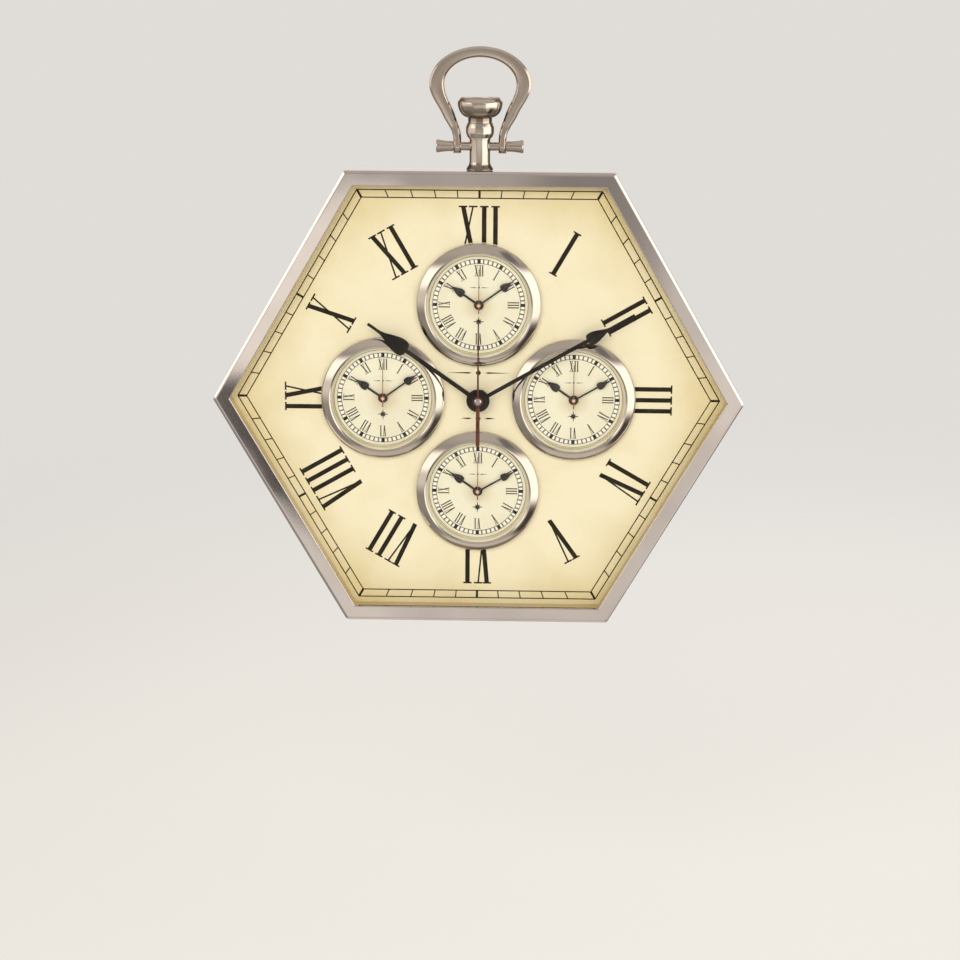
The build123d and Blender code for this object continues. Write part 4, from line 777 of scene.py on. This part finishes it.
def handSheets(line, shape, centre, turn):
    # the blade along its line, and the disc at its hub
    base, thickness = shape["base"], shape["thickness"]
    return [(bladeSheet(line, centre, turn, base, thickness), False),
            (hubDisc(shape["boss"], shape["hole"], base, thickness, centre), True)]


def spadeHand(name, shape, centre, turn, body, replaced):
    # one black hand, its blade drawn from its own line
    sheets = handSheets(spadeLine(shape), shape, centre, turn)
    addPiece(name, sheets, body, "handBlack", [replaced], handSmooth)


hourShape = dict(length=77.5, shaft=2.5, bulbBase=50.4, bulbWidest=54.6, bulb=9.8, tipStart=70.5, tip=1.7,
                 boss=6.7, hole=2.6, base=6.5, thickness=0.5)
minuteShape = dict(length=103.0, shaft=2.3, bulbBase=72.2, bulbWidest=75.4, bulb=7.3, tipStart=87.5, tip=1.5,
                   boss=5.0, hole=1.7, base=7.7, thickness=0.5)
# half width and way along: a broad tail that narrows in to the boss, then a needle that tapers to its tip
sweep = dict(line=[(0.88, -26.5), (1.1, -26.0), (1.1, -5.0), (0.55, -1.5), (0.6, 1.5), (0.35, 46.6),
                   (0.21, 47.0)], boss=3.1, hole=0.4, base=8.9, thickness=0.35)
cap = dict(corners=[(0, 9.0), (2.1, 9.0), (2.1, 9.85), (1.2, 10.35), (0, 10.35)],
           rounds=[0, 0.05, 0.5, 0.6, 0])
mainTime = dict(hour=305.0, minute=60.0, second=0.0)       # degrees from twelve
spadeHand("hour_spade", hourShape, (0, 0), mainTime["hour"], "hour", "hour_hand")
spadeHand("minute_spade", minuteShape, (0, 0), mainTime["minute"], "minute", "minute_hand")
addPiece("second_sweep", handSheets(sweep["line"], sweep, (0, 0), mainTime["second"]), "second",
         "secondRed", ["second_hand"], handSmooth)
capLine = softened(cap["corners"], cap["rounds"], steps=6)
addPiece("centre_cap", [(spun(capLine, (0, 0, 0), "front", count=64), False)], "second",
         "capSilver", ["second_hand_cap"])

smallHour = dict(length=22.5, shaft=1.3, bulbBase=10.5, bulbWidest=12.6, bulb=4.8, tipStart=19.4, tip=0.6,
                 boss=2.8, hole=0.9, base=2.0, thickness=0.3)
smallMinute = dict(length=24.5, shaft=1.0, bulbBase=15.8, bulbWidest=17.7, bulb=4.3, tipStart=23.4, tip=0.6,
                   boss=2.3, hole=0.6, base=2.8, thickness=0.3)
smallSecond = dict(line=[(0.3375, -5.0), (0.3375, -1.0), (0.225, 1.0), (0.18, 21.0)], base=3.5, thickness=0.2,
                   turn=0.0, button=[(0, 3.5), (1.4, 3.5), (1.4, 3.85), (0.84, 4.0), (0, 4.0)],
                   buttonRounds=[0, 0.04, 0.12, 0.3, 0])
smallTimes = dict(top=(304.5, 54.0), right=(305.0, 60.0), bottom=(305.0, 60.0), left=(304.5, 54.0))
button = softened(smallSecond["button"], smallSecond["buttonRounds"], steps=5)
for place, (hourTurn, minuteTurn) in smallTimes.items():
    spot = insertCentre(place)
    for part, shape, turn in (("_hour", smallHour, hourTurn), ("_minute", smallMinute, minuteTurn)):
        spadeHand(place + part + "_spade", shape, spot, turn, place + part, place + part + "_hand")
    needle = bladeSheet(smallSecond["line"], spot, smallSecond["turn"], smallSecond["base"],
                        smallSecond["thickness"])
    buttonSheet = spun(button, (spot[0], 0, spot[1]), "front", count=40)
    addPiece(place + "_second_needle", [(needle, False), (buttonSheet, False)], place + "_second",
             "secondCopper", [place + "_second_hand"], handSmooth)
print("hands made")

studio = dict(floorUp=-0.47, floorRadius=1.8, floorRings=12, floorSpokes=64, fadeFrom=0.3, fadeTo=1.6,
              floorTint=tint(226, 222, 216), floorRough=0.7, worldTint=tint(224, 221, 217),
              mirrorTint=(1.0, 0.965, 0.93, 1), softTint=(1.0, 0.98, 0.95, 1), softStrength=0.45)


def addFloor():
    # a disc of rings; it melts into the pale world towards its edge
    ring = np.linspace(0, studio["floorRadius"], studio["floorRings"])[:, None]
    turn = np.linspace(0, 2 * np.pi, studio["floorSpokes"], endpoint=False)[None, :]
    grid = np.stack([ring * np.cos(turn), ring * np.sin(turn), studio["floorUp"] + 0 * ring * turn], -1)
    index = np.arange(ring.size * turn.size).reshape(ring.size, turn.size)
    near, far = index[:-1], index[1:]
    faces = np.stack([near, far, np.roll(far, -1, 1), np.roll(near, -1, 1)], -1).reshape(-1, 4)
    mesh = bpy.data.meshes.new("floor")
    mesh.from_pydata(grid.reshape(-1, 3).tolist(), [], faces.tolist())
    work = bmesh.new()
    work.from_mesh(mesh)
    bmesh.ops.remove_doubles(work, verts=work.verts, dist=meshing["mergeWithin"])
    work.to_mesh(mesh)
    work.free()
    steady = {"Base Color": studio["floorTint"], "Roughness": studio["floorRough"]}
    tree, shader = newMaterial("paleFloor", steady)
    reach = flatReach(tree, objectPlace(tree), (1, 1, 0))
    fade = ranged(tree, reach, studio["fadeFrom"], studio["fadeTo"], toLow=1.0, toHigh=0.0)
    tree.links.new(fade, shader.inputs["Alpha"])
    mesh.materials.append(bpy.data.materials["paleFloor"])
    floor = bpy.data.objects.new("floor", mesh)
    floor.visible_glossy = False               # the metal mirrors the painted room instead
    bpy.context.scene.collection.objects.link(floor)


def facing(where, to):
    # stands at one point with its back turned away from another, and its side level
    back = (where - to) / np.linalg.norm(where - to)
    side = np.cross((0, 0, 1), back)
    side /= np.linalg.norm(side)
    turned = Matrix(np.stack([side, np.cross(back, side), back], 1).tolist()).to_4x4()
    return Matrix.Translation(where.tolist()) @ turned


# soft boxes: place and aim in metres, width and height, watts
lights = dict(
    keyBox=dict(place=(-0.60, -1.75, 0.80), size=(1.5, 1.2), power=20.0, shade=(1.0, 0.97, 0.93)),
    fillBox=dict(place=(0.85, -1.55, 0.15), size=(1.2, 1.2), power=8.0),
    backBox=dict(place=(0.7, 1.6, 0.7), size=(1.2, 1.2), power=12.0),
    overhead=dict(place=(0.1, 0.5, 1.6), size=(1.2, 1.0), power=16.0, aim=(0, 0, -0.2)),
)


def addLight(name, place, size, power, aim=(0, 0, -0.1), shade=(1, 1, 1)):
    data = bpy.data.lights.new(name, "AREA")
    data.shape, data.size, data.size_y = "RECTANGLE", size[0], size[1]
    data.energy, data.color = power, shade
    lamp = bpy.data.objects.new(name, data)
    lamp.matrix_world = facing(np.array(place, float), np.array(aim, float))
    lamp.visible_glossy = False
    bpy.context.scene.collection.objects.link(lamp)


# what the metal mirrors, painted over a plain room in this order: (left and right bearing in degrees, 0 in
# front of the clock; lower and upper angle above the level; soft edge; brightness; and for one that leans,
# how far its sides go to the right for each degree down)
room = dict(level=0.44, painted=[
    (-180, 180, 38, 90, 12.0, 0.66),  # ceiling
    (-80, 80, -95, -60, 6.0, 0.86),  # pale floor in front
    (-180, -112, -34, 34, 14.0, 0.16),  # dark back of the room
    (112, 180, -34, 34, 14.0, 0.16),
    (150, 200, -3, 34, 2.0, 0.95),  # and a light strip across it
    (-200, -150, -3, 34, 2.0, 0.95),
    (150, 200, 11.5, 40, 1.5, 0.42),
    (-200, -150, 11.5, 40, 1.5, 0.42),
    (-106, -38, -12, 30, 7.0, 1.1),  # left window
    (-82, -44, 6, 28, 5.0, 2.1),
    (24, 102, -24, 26, 6.0, 2.1),  # right window
    (34, 58, -42, -24, 5.0, 1.0),
    (60, 86, -56, -30, 5.0, 0.10),  # dark corners
    (34, 56, 34, 54, 5.0, 0.26),
    (-86, -60, -56, -34, 6.0, 0.36),
    (-30, 30, -24, 10, 6.0, 0.86),  # pale table in front
    (-30, 30, -9.7, 12, 0.8, 0.60),
    (-30, 30, -7.6, 12, 0.5, 0.62),
    (-30, 30, -5.7, 12, 0.4, 0.46),
    (-0.2, 2.5, -12.0, -7.2, 0.8, 0.36),  # things that stand on it
    (-7.8, -3.2, -12.9, -8.4, 0.35, 1.22),
    (-9.0, -3.4, -19.0, -14.3, 0.3, 0.98),
    (-8.12, -5.05, -16.6, -12.5, 0.12, 0.12, 0.81),
    (4.0, 6.5, -14.0, -12.0, 0.6, 1.05),
])


def addWorld():
    # pale all round to the eye; the metal sees the painted room, and the soft light is even
    world = bpy.data.worlds.new("studio")
    world.use_nodes = True
    tree = world.node_tree
    tree.nodes.clear()
    way = addNode(tree, "ShaderNodeTexCoord").outputs["Generated"]
    split = addNode(tree, "ShaderNodeSeparateXYZ", {0: way}).outputs
    ahead = mathNode(tree, "MULTIPLY", split["Y"], -1.0)
    bearing = mathNode(tree, "DEGREES", mathNode(tree, "ARCTAN2", split["X"], ahead))
    rise = mathNode(tree, "DEGREES", mathNode(tree, "ARCSINE", split["Z"]))

    def within(value, low, high, soft):
        return mathNode(tree, "MULTIPLY", ranged(tree, value, low - soft, low + soft),
                        ranged(tree, value, high + soft, high - soft))

    level = room["level"]
    for left, right, low, high, soft, bright, *lean in room["painted"]:
        at = bearing
        for perDegree in lean:
            upright = mathNode(tree, "SUBTRACT", bearing, perDegree * high)
            at = mathNode(tree, "MULTIPLY_ADD", rise, perDegree, upright)
        mask = mathNode(tree, "MULTIPLY", within(at, left, right, soft), within(rise, low, high, soft))
        level = mathNode(tree, "MULTIPLY_ADD", mask, mathNode(tree, "SUBTRACT", bright, level), level)
    path = addNode(tree, "ShaderNodeLightPath").outputs

    def lit(shade, strength):
        return addNode(tree, "ShaderNodeBackground", {"Color": shade, "Strength": strength}).outputs[0]

    def either(ray, other, this):
        return addNode(tree, "ShaderNodeMixShader", {0: path[ray], 1: other, 2: this}).outputs[0]

    even = lit(studio["softTint"], studio["softStrength"])
    unseen = either("Is Glossy Ray", even, lit(studio["mirrorTint"], level))
    out = tree.nodes.new("ShaderNodeOutputWorld")
    tree.links.new(either("Is Camera Ray", unseen, lit(studio["worldTint"], 1.0)), out.inputs["Surface"])
    bpy.context.scene.world = world


addFloor()
for name, light in lights.items():
    addLight(name, **light)
addWorld()

# the camera stands in front, a little above; focal is in pixels of a 960 pixel frame
shot = dict(elevation=13.0, azimuth=1.35, roll=0.39, distance=1484.6, focal=2565.0, aimX=1.35, aimZ=-48.9,
            frame=960.0, sensor=36.0, clipStart=0.01)


def addCamera():
    # on a sphere round the dial's centre, turned to the aim and then rolled
    el, az, d = radians(shot["elevation"]), radians(shot["azimuth"]), shot["distance"]
    where = toFrame(d * sin(az) * cos(el), d * cos(az) * cos(el), d * sin(el))
    data = bpy.data.cameras.new("camera")
    data.sensor_width = shot["sensor"]
    data.lens = shot["focal"] / shot["frame"] * shot["sensor"]
    data.clip_start = shot["clipStart"]
    camera = bpy.data.objects.new("camera", data)
    roll = Matrix.Rotation(radians(shot["roll"]), 4, "Z")
    camera.matrix_world = facing(where, toFrame(shot["aimX"], 0.0, shot["aimZ"])) @ roll
    bpy.context.scene.collection.objects.link(camera)
    bpy.context.scene.camera = camera


addCamera()
bpy.context.scene.view_settings.view_transform = "Standard"
print("studio made")

bpy.context.view_layer.update()
